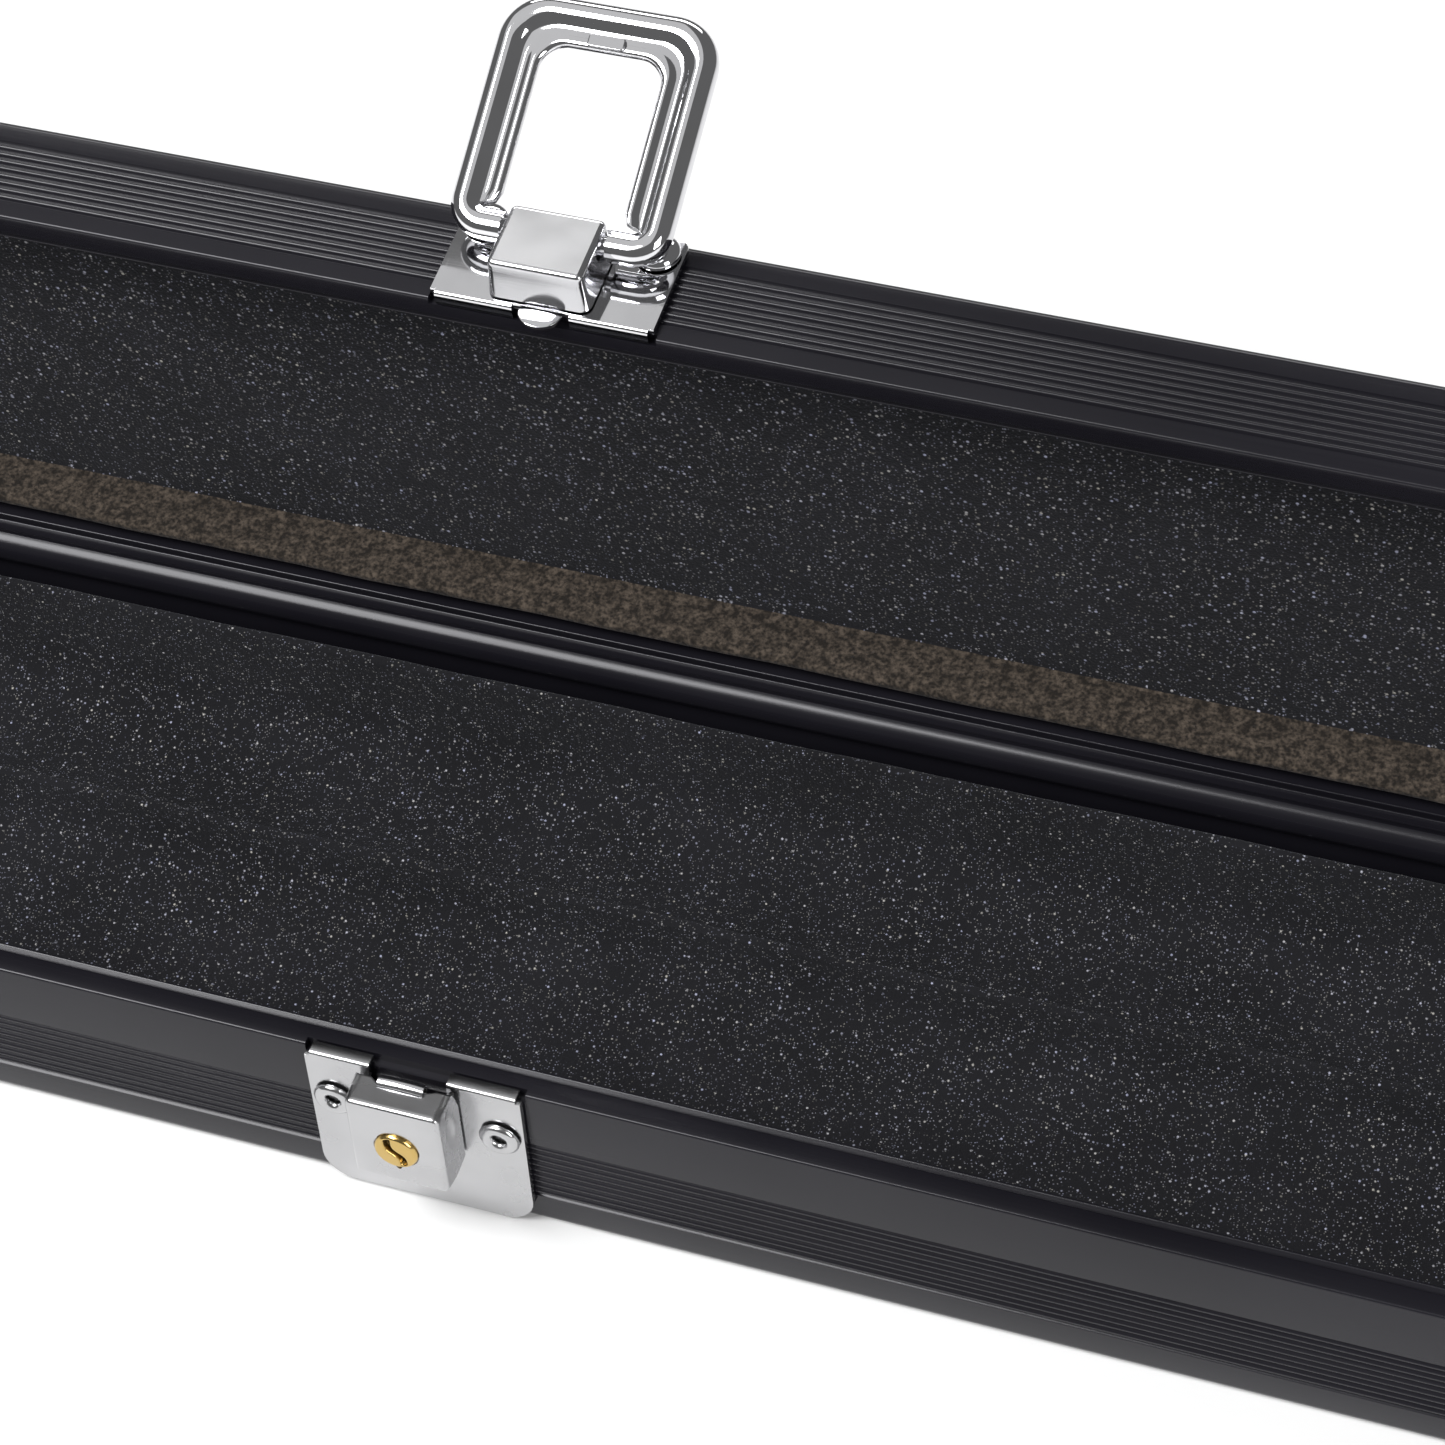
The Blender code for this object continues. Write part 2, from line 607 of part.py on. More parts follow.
def base_lining_profile():
    """Cross-section of the base's foam: two long troughs with a ridge between them."""
    outer = INNER - LINING_STANDOFF
    top = BASE_HEIGHT - RIM_DEPTH - GAP
    rear_top = HINGE_Z - SOCKET_OUTER_RADIUS - GAP
    low = WALL + GAP
    floor = low + LINING_FLOOR
    inner = outer - LINING_SIDE
    crest = RIDGE_CREST / 2
    front_trough = trough(-inner, RIDGE_POSITION - crest, RIDGE_HEIGHT, floor, 12)
    rear_trough = trough(RIDGE_POSITION + crest, inner, RIDGE_HEIGHT, floor, 12)
    return ([(-outer, low), (-outer, top), (-inner, top)] + front_trough + rear_trough
            + [(inner, rear_top), (outer, rear_top), (outer, low)])


def lid_lining_profile():
    """Cross-section of the lid's foam: a sheet on the top panel turned over both walls."""
    outer = INNER - LINING_STANDOFF
    inner = outer - LINING_SIDE
    high = LID_TOP - WALL - GAP
    face = high - LID_LINING
    foot = LID_RIM + RIM_DEPTH + GAP
    rear_foot = HINGE_Z + SOCKET_OUTER_RADIUS + 2 * GAP
    return [(-outer, foot), (-outer, high), (outer, high), (outer, rear_foot),
            (inner, rear_foot), (inner, face), (-inner, face), (-inner, foot)]


def build_linings(base, lid):
    """The two foam linings."""
    add_piece("base_foam", outline_solid(base_lining_profile(), LINING_LENGTH, "YZ"), FOAM, base)
    add_piece("lid_foam", outline_solid(lid_lining_profile(), LINING_LENGTH, "YZ"), FOAM, lid)


# --- latches ----------------------------------------------------------------------------------

def dome_rivet(name, along, height, frame):
    """A domed rivet through a lid plate and the lid's front wall."""
    dome = [(DOME_RADIUS * across, DOME_HEIGHT * up) for across, up in arc(0, 0, 1.0, 90, 0, 5)]
    add_rivet(name, dome, along, height, frame, PLATE_FRONT - GAP, CHROME)


def collar_rivet(name, along, height, frame, seat=PLATE_FRONT - GAP):
    """A tubular rivet with a hollow middle through a base plate and the front wall."""
    collar = [(0.0, COLLAR_HEIGHT - COLLAR_BORE_DEPTH), (COLLAR_BORE_RADIUS / 2,
              COLLAR_HEIGHT - COLLAR_BORE_DEPTH), (COLLAR_BORE_RADIUS / 2, COLLAR_HEIGHT * 0.7),
              (COLLAR_BORE_RADIUS, COLLAR_HEIGHT), (COLLAR_RADIUS * 0.8, COLLAR_HEIGHT),
              (COLLAR_RADIUS, COLLAR_HEIGHT * 0.4), (COLLAR_RADIUS, 0.0)]
    add_rivet(name, collar, along, height, frame, seat, CHROME)


def add_rivet(name, head, along, height, frame, seat, material):
    """A rivet of a given head, from its seat to a flattened tail inside the shell."""
    tail = -(FRONT + WALL + GAP - seat)
    profile = head + [(RIVET_SHANK_RADIUS, 0.0), (RIVET_SHANK_RADIUS, tail),
                      (RIVET_TAIL_RADIUS, tail), (RIVET_TAIL_RADIUS, tail - RIVET_TAIL_HEIGHT),
                      (0.0, tail - RIVET_TAIL_HEIGHT)]
    add_piece(name, turned(profile, (along, seat, height), "-Y", 12), material, frame)


def plate_flanges(centre, gap_centre, gap, low, high):
    """The two short lips that a latch plate folds over its rim, either side of a gap."""
    outer = PLATE_WIDTH / 2 - FLANGE_INSET
    back = PLATE_FRONT + PLATE_THICKNESS / 2
    front = FRONT + FLANGE_REACH
    return gathered([box((centre - outer, back, low), (gap_centre - gap / 2, front, high)),
                     box((gap_centre + gap / 2, back, low), (centre + outer, front, high))])


def plate_holes(centre, height):
    """Cutters for the two rivet holes of a latch plate."""
    return gathered([cylinder((centre + side * RIVET_SPACING / 2, PLATE_FRONT, height), "-Y",
                              HOLE_RADIUS, 4 * PLATE_THICKNESS, 10) for side in SIDES.values()])


def shifted(points, along):
    """An outline moved along its first axis."""
    return [(across + along, up) for across, up in points]


def build_hasp(word, centre, lid):
    """Plate, block, loop and rivets of the latch half on the lid."""
    half = PLATE_WIDTH / 2
    middle = PLATE_FRONT + PLATE_THICKNESS / 2
    outline = rounded_box(-half, half, LID_RIM, LID_RIM + LID_PLATE_HEIGHT, 0.2 * MM,
                          LID_PLATE_CORNER, 3)
    plate = add_piece("hasp_plate_" + word,
                      outline_solid(shifted(outline, centre), PLATE_THICKNESS, "XZ",
                                    (0.0, middle, 0.0)), CHROME, lid)
    join(plate, plate_flanges(centre, centre, LID_FLANGE_GAP, LID_RIM,
                              LID_RIM + PLATE_THICKNESS), lid)
    root = LID_RIM + PLATE_THICKNESS
    drop = TONGUE_REACH + PLATE_THICKNESS
    tongue = [(TONGUE_WIDTH / 2 * across, root + drop * up)
              for across, up in arc(0, 0, 1.0, 180, 360, 10)]
    join(plate, outline_solid(shifted(tongue, centre), PLATE_THICKNESS * 0.8, "XZ",
                              (0.0, middle, 0.0)), lid)
    cut(plate, plate_holes(centre, LID_RIVET_Z), lid)

    low = LID_RIM + BLOCK_ABOVE_RIM
    block_x = centre + MECHANISM_OFFSET
    side_view = [(SEAT, low), (SEAT, low + BLOCK_LENGTH), (SEAT - BLOCK_HEIGHT / 2,
                 low + BLOCK_LENGTH)] + arc(SEAT - BLOCK_HEIGHT + EDGE_RADIUS,
                 low + BLOCK_LENGTH - BLOCK_DRAFT - EDGE_RADIUS, EDGE_RADIUS, 90, 180, 3) + arc(
                 SEAT - BLOCK_HEIGHT + EDGE_RADIUS, low + BLOCK_DRAFT + EDGE_RADIUS,
                 EDGE_RADIUS, 180, 270, 3)
    block = add_piece("hasp_block_" + word,
                      outline_solid(side_view, BLOCK_WIDTH, "YZ", (block_x, 0.0, 0.0)),
                      CHROME, lid)
    for side in SIDES.values():
        face = block_x + side * BLOCK_WIDTH / 2
        cut(block, cylinder((face, LOOP_PIVOT_Y, LOOP_PIVOT_Z), "+X", LOOP_PIN_RADIUS + GAP,
                            2 * (LOOP_PIN_BITE + GAP), 12), lid)
    build_loop(word, block_x, lid)
    for ordinal, side in (("a", -1), ("b", 1)):
        dome_rivet("hasp_rivet_%s_%s" % (word, ordinal), centre + side * RIVET_SPACING / 2,
                   LID_RIVET_Z, lid)


def build_loop(word, centre, lid):
    """The hasp's loop, hanging shut: two pins, two legs, a bar and its catch tab."""
    hinge = Frame("loop_hinge_" + word, (centre, LOOP_PIVOT_Y, LOOP_PIVOT_Z), lid,
                  -LOOP_REST_ANGLE)
    leg = LOOP_HALF_WIDTH - LOOP_WIRE_RADIUS
    bar = LOOP_PIVOT_Z - LOOP_REACH + LOOP_WIRE_RADIUS
    shoulder = BLOCK_WIDTH / 2 + GAP + LOOP_WIRE_RADIUS / 2
    half = ([(shoulder, LOOP_PIVOT_Z)]
            + arc(leg - LOOP_CURL, LOOP_PIVOT_Z - LOOP_CURL, LOOP_CURL, 90, 0, 5)
            + arc(leg - LOOP_CORNER, bar + LOOP_CORNER, LOOP_CORNER, 0, -90, 6))
    path = half + [(-across, up) for across, up in reversed(half)]
    loop = add_piece("hasp_loop_" + word,
                     tube([(centre + across, LOOP_PIVOT_Y, up) for across, up in path],
                          LOOP_WIRE_RADIUS, 12), CHROME, hinge)
    pin_end = BLOCK_WIDTH / 2 - LOOP_PIN_BITE
    for side in SIDES.values():
        middle = centre + side * (pin_end + shoulder + LOOP_WIRE_RADIUS / 2) / 2
        join(loop, cylinder((middle, LOOP_PIVOT_Y, LOOP_PIVOT_Z), "+X", LOOP_PIN_RADIUS,
                            shoulder + LOOP_WIRE_RADIUS / 2 - pin_end, 12), hinge)
    tab_back = LOOP_PIVOT_Y + LOOP_WIRE_RADIUS - GAP
    join(loop, box((centre - TAB_WIDTH / 2, tab_back - TAB_THICKNESS, bar),
                   (centre + TAB_WIDTH / 2, tab_back, bar + LOOP_WIRE_RADIUS + TAB_REACH)), hinge)


def lever_outline():
    """Side view of the lock lever."""
    top = BASE_HEIGHT - LEVER_TOP_BELOW_RIM
    bottom = BASE_HEIGHT - LEVER_BOTTOM_BELOW_RIM
    radius = LEVER_SHEET
    return ([(LEVER_FRONT, bottom)]
            + arc(LEVER_FRONT + radius, top - radius, radius, 180, 90, 4)
            + [(SEAT - LEVER_TOP_SETBACK, top), (SEAT, BASE_HEIGHT - LEVER_HEEL_BELOW_RIM),
               (SEAT, BASE_HEIGHT - LEVER_BACK_BELOW_RIM)])


def build_lock(word, centre, base):
    """Plate, bracket, lever, pin, spring, key, cam and rivets of the latch half on the base."""
    half = PLATE_WIDTH / 2
    middle = PLATE_FRONT + PLATE_THICKNESS / 2
    low = BASE_HEIGHT - BASE_PLATE_HEIGHT
    outline = rounded_box(-half, half, low, BASE_HEIGHT, BASE_PLATE_CORNER, 0.2 * MM, 4)
    plate = add_piece("lock_plate_" + word,
                      outline_solid(shifted(outline, centre), PLATE_THICKNESS, "XZ",
                                    (0.0, middle, 0.0)), CHROME, base)
    lever_x = centre + MECHANISM_OFFSET
    join(plate, plate_flanges(centre, lever_x, BASE_FLANGE_GAP, BASE_HEIGHT - PLATE_THICKNESS,
                              BASE_HEIGHT), base)
    cut(plate, plate_holes(centre, BASE_RIVET_Z), base)
    notch = BASE_FLANGE_GAP / 2
    cut(plate, box((lever_x - notch, PLATE_FRONT - WALL, BASE_HEIGHT - BASE_NOTCH_DEPTH),
                   (lever_x + notch, FRONT - GAP / 2, BASE_HEIGHT + WALL)), base)
    for ordinal, side in (("a", -1), ("b", 1)):
        collar_rivet("lock_rivet_%s_%s" % (word, ordinal), centre + side * RIVET_SPACING / 2,
                     BASE_RIVET_Z, base)
    build_bracket(word, lever_x, base)
    hinge = Frame("lever_hinge_" + word, (lever_x, LEVER_PIVOT_Y, LEVER_PIVOT_Z), base)
    build_lever(word, lever_x, hinge)
    build_key(word, lever_x, hinge)


def build_bracket(word, centre, base):
    """The fixed bracket inside the lever: two ears, a foot and the keeper for the cam."""
    half = LEVER_WIDTH / 2 - LEVER_SHEET - GAP - EAR_THICKNESS / 2
    ear_low = KEY_Z + KEY_RADIUS + GAP
    ear = ([(SEAT, ear_low), (SEAT, LEVER_PIVOT_Z + EAR_RADIUS / 2)]
           + arc(LEVER_PIVOT_Y, LEVER_PIVOT_Z, EAR_RADIUS, 60, 180, 6)
           + [(LEVER_PIVOT_Y - EAR_RADIUS, ear_low)])
    bracket = add_piece("lock_bracket_" + word,
                        outline_solid(ear, EAR_THICKNESS, "YZ", (centre - half, 0.0, 0.0)),
                        STEEL, base)
    join(bracket, outline_solid(ear, EAR_THICKNESS, "YZ", (centre + half, 0.0, 0.0)), base)
    foot_top = LEVER_PIVOT_Z - EAR_RADIUS
    join(bracket, box((centre - half, SEAT - KEEPER_THICKNESS, ear_low),
                      (centre + half, SEAT, foot_top)), base)
    keeper_back = LEVER_FRONT + KEY_DEPTH - GAP
    join(bracket, box((centre - half, keeper_back - KEEPER_THICKNESS, ear_low),
                      (centre + half, keeper_back, ear_low + KEEPER_THICKNESS)), base)
    cut(bracket, cylinder((centre, LEVER_PIVOT_Y, LEVER_PIVOT_Z), "+X", PIN_RADIUS + GAP,
                          LEVER_WIDTH, 12), base)
    add_piece("lever_pin_" + word,
              cylinder((centre, LEVER_PIVOT_Y, LEVER_PIVOT_Z), "+X", PIN_RADIUS,
                       LEVER_WIDTH - GAP, 12), STEEL, base)


def build_lever(word, centre, hinge):
    """The lock's lever: a folded cover, open at the back and below, with a waved top."""
    lever = add_piece("lock_lever_" + word,
                      outline_solid(lever_outline(), LEVER_WIDTH, "YZ", (centre, 0.0, 0.0)),
                      CHROME, hinge)
    inner_half = LEVER_WIDTH / 2 - LEVER_SHEET
    cut(lever, box((centre - inner_half, LEVER_FRONT + LEVER_SHEET, -BASE_HEIGHT),
                   (centre + inner_half, 0.0,
                    BASE_HEIGHT - LEVER_TOP_BELOW_RIM - LEVER_SHEET)), hinge)
    cut(lever, cylinder((centre, LEVER_PIVOT_Y, LEVER_PIVOT_Z), "+X", PIN_RADIUS + GAP,
                        2 * LEVER_WIDTH, 12), hinge)
    cut(lever, cylinder((centre, LEVER_FRONT, KEY_Z), "-Y", KEY_RADIUS + GAP,
                        4 * LEVER_SHEET, 20), hinge)
    back = SEAT - LEVER_TOP_SETBACK
    wave = [(centre + LEVER_WAVE_WIDTH / 2 * across, back - LEVER_WAVE_DEPTH * up ** 0.4)
            for across, up in arc(0, 0, 1.0, 1, 179, 12)]
    wave += [(centre - LEVER_WAVE_WIDTH / 2, 0.0), (centre + LEVER_WAVE_WIDTH / 2, 0.0)]
    cut(lever, outline_solid(wave, 4 * LEVER_SHEET, "XY",
                             (0.0, 0.0, BASE_HEIGHT - LEVER_TOP_BELOW_RIM)), hinge)
    middle = LEVER_PIVOT_Y + SPRING_BEHIND_PIN
    crown = BASE_HEIGHT + SPRING_PROUD - SPRING_RADIUS
    inner = SPRING_RADIUS - SPRING_THICKNESS
    foot = LEVER_PIVOT_Z + PIN_RADIUS + GAP
    tail = crown - SPRING_TAIL
    leaf = ([(middle - SPRING_RADIUS, foot)]
            + arc(middle, crown, SPRING_RADIUS, 180, 0, 10)
            + [(middle + SPRING_RADIUS, tail), (middle + inner, tail)]
            + arc(middle, crown, inner, 0, 180, 10)
            + [(middle - inner, foot)])
    add_piece("lever_spring_" + word,
              outline_solid(leaf, SPRING_WIDTH, "YZ", (centre, 0.0, 0.0)), STEEL, hinge)


def build_key(word, centre, lever_hinge):
    """The key cylinder and the cam behind it, which turn together in the lever."""
    turn = Frame("key_axis_" + word, (centre, LEVER_FRONT, KEY_Z), lever_hinge)
    back = LEVER_FRONT + KEY_DEPTH
    middle = (LEVER_FRONT - KEY_PROUD + back) / 2
    key = add_piece("key_cylinder_" + word,
                    cylinder((centre, middle, KEY_Z), "-Y", KEY_RADIUS, KEY_DEPTH + KEY_PROUD,
                             24), BRASS, turn)
    slot = KEY_SLOT_WIDTH / 2
    cut(key, box((centre - slot, LEVER_FRONT - 2 * KEY_PROUD, KEY_Z - KEY_RADIUS * 0.75),
                 (centre + slot, LEVER_FRONT, KEY_Z + KEY_RADIUS * 0.75)), turn)
    half = CAM_WIDTH / 2
    tip = CAM_REACH - half
    outline = (arc(centre, KEY_Z, CAM_WIDTH * 0.8, 60, 300, 10)
               + arc(centre + tip, KEY_Z, half, -90, 90, 6))
    add_piece("lock_cam_" + word,
              outline_solid(outline, CAM_THICKNESS, "XZ",
                            (0.0, back + GAP + CAM_THICKNESS / 2, 0.0)), STEEL, turn)


# --- handle -----------------------------------------------------------------------------------

def build_handle(base):
    """A moulded grip on two riveted brackets."""
    hinge = Frame("handle_hinge", (0.0, HANDLE_PIVOT_Y, HANDLE_PIVOT_Z), base, HANDLE_DROOP)
    half = HANDLE_SPAN / 2
    back = HANDLE_PIVOT_Y + HANDLE_EYE
    front = HANDLE_PIVOT_Y - HANDLE_REACH
    inner = half - HANDLE_LEG
    inner_front = front + HANDLE_GRIP
    outline = (arc(half - HANDLE_EYE, back - HANDLE_EYE, HANDLE_EYE, 0, 90, 4)
               + arc(inner + HANDLE_EYE * 0.9, back - HANDLE_EYE * 0.9, HANDLE_EYE * 0.9, 90, 180, 4)
               + arc(inner - HANDLE_CORNER / 2, inner_front + HANDLE_CORNER / 2,
                     HANDLE_CORNER / 2, 0, -90, 4))
    outline = outline + [(-across, up) for across, up in reversed(outline)]
    outer = arc(half - HANDLE_CORNER, front + HANDLE_CORNER, HANDLE_CORNER, 0, -90, 6)
    outline = outline + [(-across, up) for across, up in outer] + outer[::-1]
    grip = add_piece("handle_grip",
                     outline_solid(outline, HANDLE_THICKNESS, "XY", (0.0, 0.0, HANDLE_PIVOT_Z)),
                     PLASTIC, hinge)
    bevel = grip.modifiers.new("round", "BEVEL")
    bevel.width = HANDLE_BEVEL
    bevel.segments = 3
    bevel.limit_method = "ANGLE"
    bevel.angle_limit = math.radians(50.0)
    cut(grip, gathered([cylinder((side * HANDLE_LEG_X, HANDLE_PIVOT_Y, HANDLE_PIVOT_Z), "+X",
                                 HANDLE_PIN_RADIUS + GAP, 2 * HANDLE_LEG, 12)
                        for side in SIDES.values()]), hinge)
    for word, side in SIDES.items():
        build_handle_bracket(word, side * HANDLE_LEG_X, base)


def build_handle_bracket(word, centre, base):
    """One bracket of the handle, its pin and its two rivets."""
    seat = FRONT - GAP
    half = BRACKET_WIDTH / 2
    plate = rounded_box(centre - half, centre + half, HANDLE_PIVOT_Z - BRACKET_HEIGHT / 2,
                        HANDLE_PIVOT_Z + BRACKET_HEIGHT / 2, 2.0 * MM, 2.0 * MM, 3)
    bracket = add_piece("handle_bracket_" + word,
                        outline_solid(plate, BRACKET_SHEET, "XZ",
                                      (0.0, seat - BRACKET_SHEET / 2, 0.0)), CHROME, base)
    reach = HANDLE_EYE - GAP
    ear = ([(seat - BRACKET_SHEET / 2, HANDLE_PIVOT_Z - reach)]
           + arc(HANDLE_PIVOT_Y, HANDLE_PIVOT_Z, reach, 270, 90, 8)
           + [(seat - BRACKET_SHEET / 2, HANDLE_PIVOT_Z + reach)])
    ear_offset = HANDLE_LEG / 2 + GAP + BRACKET_EAR / 2
    for side in SIDES.values():
        join(bracket, outline_solid(ear, BRACKET_EAR, "YZ",
                                    (centre + side * ear_offset, 0.0, 0.0)), base)
    cut(bracket, cylinder((centre, HANDLE_PIVOT_Y, HANDLE_PIVOT_Z), "+X",
                          HANDLE_PIN_RADIUS + GAP, BRACKET_WIDTH, 12), base)
    cut(bracket, gathered([cylinder((centre + side * BRACKET_RIVET_SPACING / 2, seat,
                                     HANDLE_PIVOT_Z), "-Y", HOLE_RADIUS, 4 * BRACKET_SHEET, 10)
                           for side in SIDES.values()]), base)
    pin_length = HANDLE_LEG + 2 * (GAP + BRACKET_EAR)
    add_piece("handle_pin_" + word,
              cylinder((centre, HANDLE_PIVOT_Y, HANDLE_PIVOT_Z), "+X", HANDLE_PIN_RADIUS,
                       pin_length, 12), STEEL, base)
    for ordinal, side in (("a", -1), ("b", 1)):
        collar_rivet("handle_rivet_%s_%s" % (word, ordinal),
                     centre + side * BRACKET_RIVET_SPACING / 2, HANDLE_PIVOT_Z, base,
                     seat - BRACKET_SHEET - GAP)


def main():
    """Build the whole case."""
    base = Frame("base_frame", (0.0, 0.0, 0.0))
    lid = Frame("lid_hinge", (0.0, HINGE_Y, HINGE_Z), base, -OPEN_ANGLE)
    build_shells(base, lid)
    build_caps(base, lid)
    build_linings(base, lid)
    for word, side in SIDES.items():
        build_hasp(word, side * LATCH_OFFSET, lid)
        build_lock(word, side * LATCH_OFFSET, base)
    build_handle(base)


main()
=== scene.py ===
"""The looks of a slim aluminium cue case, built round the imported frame.

The base stands as the frame has it.  Everything on the lid is worked out with the lid shut
and then swung open with it, because the ribs, rims and plates of both halves line up then.
"""

import json
import logging
import math
from dataclasses import dataclass, field
from enum import Enum
from typing import Optional, Sequence

import bmesh
import bpy
import numpy as np
from mathutils import Euler, Matrix, Vector


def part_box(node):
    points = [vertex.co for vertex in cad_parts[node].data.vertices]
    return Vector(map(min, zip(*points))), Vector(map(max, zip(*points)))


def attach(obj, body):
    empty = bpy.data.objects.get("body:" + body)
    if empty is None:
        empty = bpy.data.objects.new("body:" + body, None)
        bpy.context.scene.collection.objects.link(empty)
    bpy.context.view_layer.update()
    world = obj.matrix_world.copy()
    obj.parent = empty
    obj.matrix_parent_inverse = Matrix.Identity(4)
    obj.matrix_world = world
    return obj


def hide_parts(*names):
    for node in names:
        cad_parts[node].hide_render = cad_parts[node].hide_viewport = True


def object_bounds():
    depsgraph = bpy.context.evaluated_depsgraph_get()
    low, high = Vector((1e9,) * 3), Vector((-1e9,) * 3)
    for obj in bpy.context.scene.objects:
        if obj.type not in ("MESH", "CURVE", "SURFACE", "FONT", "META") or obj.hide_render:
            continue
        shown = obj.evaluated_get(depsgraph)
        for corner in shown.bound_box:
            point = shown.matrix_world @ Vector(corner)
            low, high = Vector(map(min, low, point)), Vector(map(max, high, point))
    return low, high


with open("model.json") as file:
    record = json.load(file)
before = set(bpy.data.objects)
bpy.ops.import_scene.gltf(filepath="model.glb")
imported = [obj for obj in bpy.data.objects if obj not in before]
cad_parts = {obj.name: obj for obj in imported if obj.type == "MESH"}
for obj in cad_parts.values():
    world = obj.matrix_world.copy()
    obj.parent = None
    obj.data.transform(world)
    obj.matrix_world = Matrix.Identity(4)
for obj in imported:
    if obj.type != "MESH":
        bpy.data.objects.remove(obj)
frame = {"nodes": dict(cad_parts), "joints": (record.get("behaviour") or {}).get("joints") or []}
CAD_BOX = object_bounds()

LOG = logging.getLogger("cue_case")
MM = 0.001
QUARTER, ROUND = math.pi / 2, 2 * math.pi

Array = np.ndarray
Material = bpy.types.Material
Piece = bpy.types.Object


class Side(Enum):
    """The two ends of the case, with the sign of X there."""

    LEFT = -1
    RIGHT = 1

    @property
    def word(self) -> str:
        """The side as it stands in node names."""
        return self.name.lower()


class Plane(Enum):
    """The plane that an outline is drawn in, as the axes of its two coordinates and its depth."""

    YZ = (1, 2, 0)
    XZ = (0, 2, 1)


# --- finishes --------------------------------------------------------------------------------

class Sketch:
    """Adds nodes to one material and links them."""

    def __init__(self, name: str) -> None:
        """Start an empty material.

        Args:
            name: The material's name.
        """
        self.material = bpy.data.materials.new(name)
        self.material.use_nodes = True
        self.tree = self.material.node_tree
        self.shader = self.tree.nodes["Principled BSDF"]
        self.place = self.tree.nodes.new("ShaderNodeTexCoord").outputs["Object"]

    def set(self, **values: object) -> None:
        """Set the shader's own sockets; an underscore in a name stands for a space."""
        for name, value in values.items():
            self.shader.inputs[name.replace("_", " ")].default_value = value

    def link(self, source: object, socket: str) -> None:
        """Link a node's output to a socket of the shader."""
        self.tree.links.new(source, self.shader.inputs[socket])

    def add(self, kind: str, sources: dict, **values: object) -> bpy.types.Node:
        """Add a node.

        Args:
            kind: Its type, less the words that every shader node's starts with.
            sources: The outputs that feed it, by socket.
            values: What its other sockets hold; an underscore stands for a space.

        Returns:
            The node.
        """
        node = self.tree.nodes.new("ShaderNode" + kind)
        for name, value in values.items():
            node.inputs[name.replace("_", " ")].default_value = value
        for socket, source in sources.items():
            self.tree.links.new(source, node.inputs[socket])
        return node

    def stretched(self, scale: Sequence[float]) -> object:
        """Object coordinates times a scale on each axis."""
        return self.add("Mapping", {"Vector": self.place}, Scale=scale).outputs["Vector"]

    def noise(self, scale: float, detail: float, along: Optional[object] = None) -> object:
        """A noise's factor, from waves to a metre, octaves and perhaps other coordinates."""
        source = {"Vector": along or self.place}
        return self.add("TexNoise", source, Scale=scale, Detail=detail).outputs["Fac"]

    def cells(self, scale: float) -> tuple:
        """A Voronoi texture's distance and its colour, with so many cells to a metre."""
        node = self.add("TexVoronoi", {"Vector": self.place}, Scale=scale)
        return node.outputs["Distance"], node.outputs["Color"]

    def attribute(self, name: str) -> object:
        """The factor that a piece stores on its points under a name."""
        node = self.add("Attribute", {})
        node.attribute_name = name
        return node.outputs["Fac"]

    def range(self, source: object, low: float, high: float, to_low: float = 0.0,
              to_high: float = 1.0) -> object:
        """A value carried from low and high to two other ends, and held there."""
        return self.add("MapRange", {"Value": source}, From_Min=low, From_Max=high,
                        To_Min=to_low, To_Max=to_high).outputs["Result"]

    def times(self, first: object, second: object, kind: str = "MULTIPLY") -> object:
        """Two values put together by a Math node.

        Args:
            first: A node's output.
            second: A node's output, or a number.
            kind: What the node does.

        Returns:
            The result.
        """
        node = self.add("Math", {0: first})
        node.operation = kind
        if isinstance(second, float):
            node.inputs[1].default_value = second
        else:
            self.tree.links.new(second, node.inputs[1])
        return node.outputs["Value"]

    def mix(self, factor: object, first: object, second: object) -> object:
        """A blend of two colours.

        Args:
            factor: How much of the second colour shows.
            first: A colour, or the output that gives it.
            second: A colour, or the output that gives it.

        Returns:
            The blended colour.
        """
        node = self.add("Mix", {})
        node.data_type = "RGBA"
        self.tree.links.new(factor, node.inputs["Factor"])
        for colour, socket in ((first, node.inputs[6]), (second, node.inputs[7])):
            if isinstance(colour, tuple):
                socket.default_value = (*colour, 1.0)
            else:
                self.tree.links.new(colour, socket)
        return node.outputs[2]

    def bump(self, height: object, distance: float, strength: float,
             under: Optional[object] = None) -> object:
        """A bumped normal: a height map, how high 1 stands, its share, and a normal below it."""
        sources = {"Height": height} if under is None else {"Height": height, "Normal": under}
        return self.add("Bump", sources, Distance=distance, Strength=strength).outputs["Normal"]


def dimmed(colour: tuple, share: float) -> tuple:
    """A colour with each of its parts times a share."""
    return tuple(share * part for part in colour)


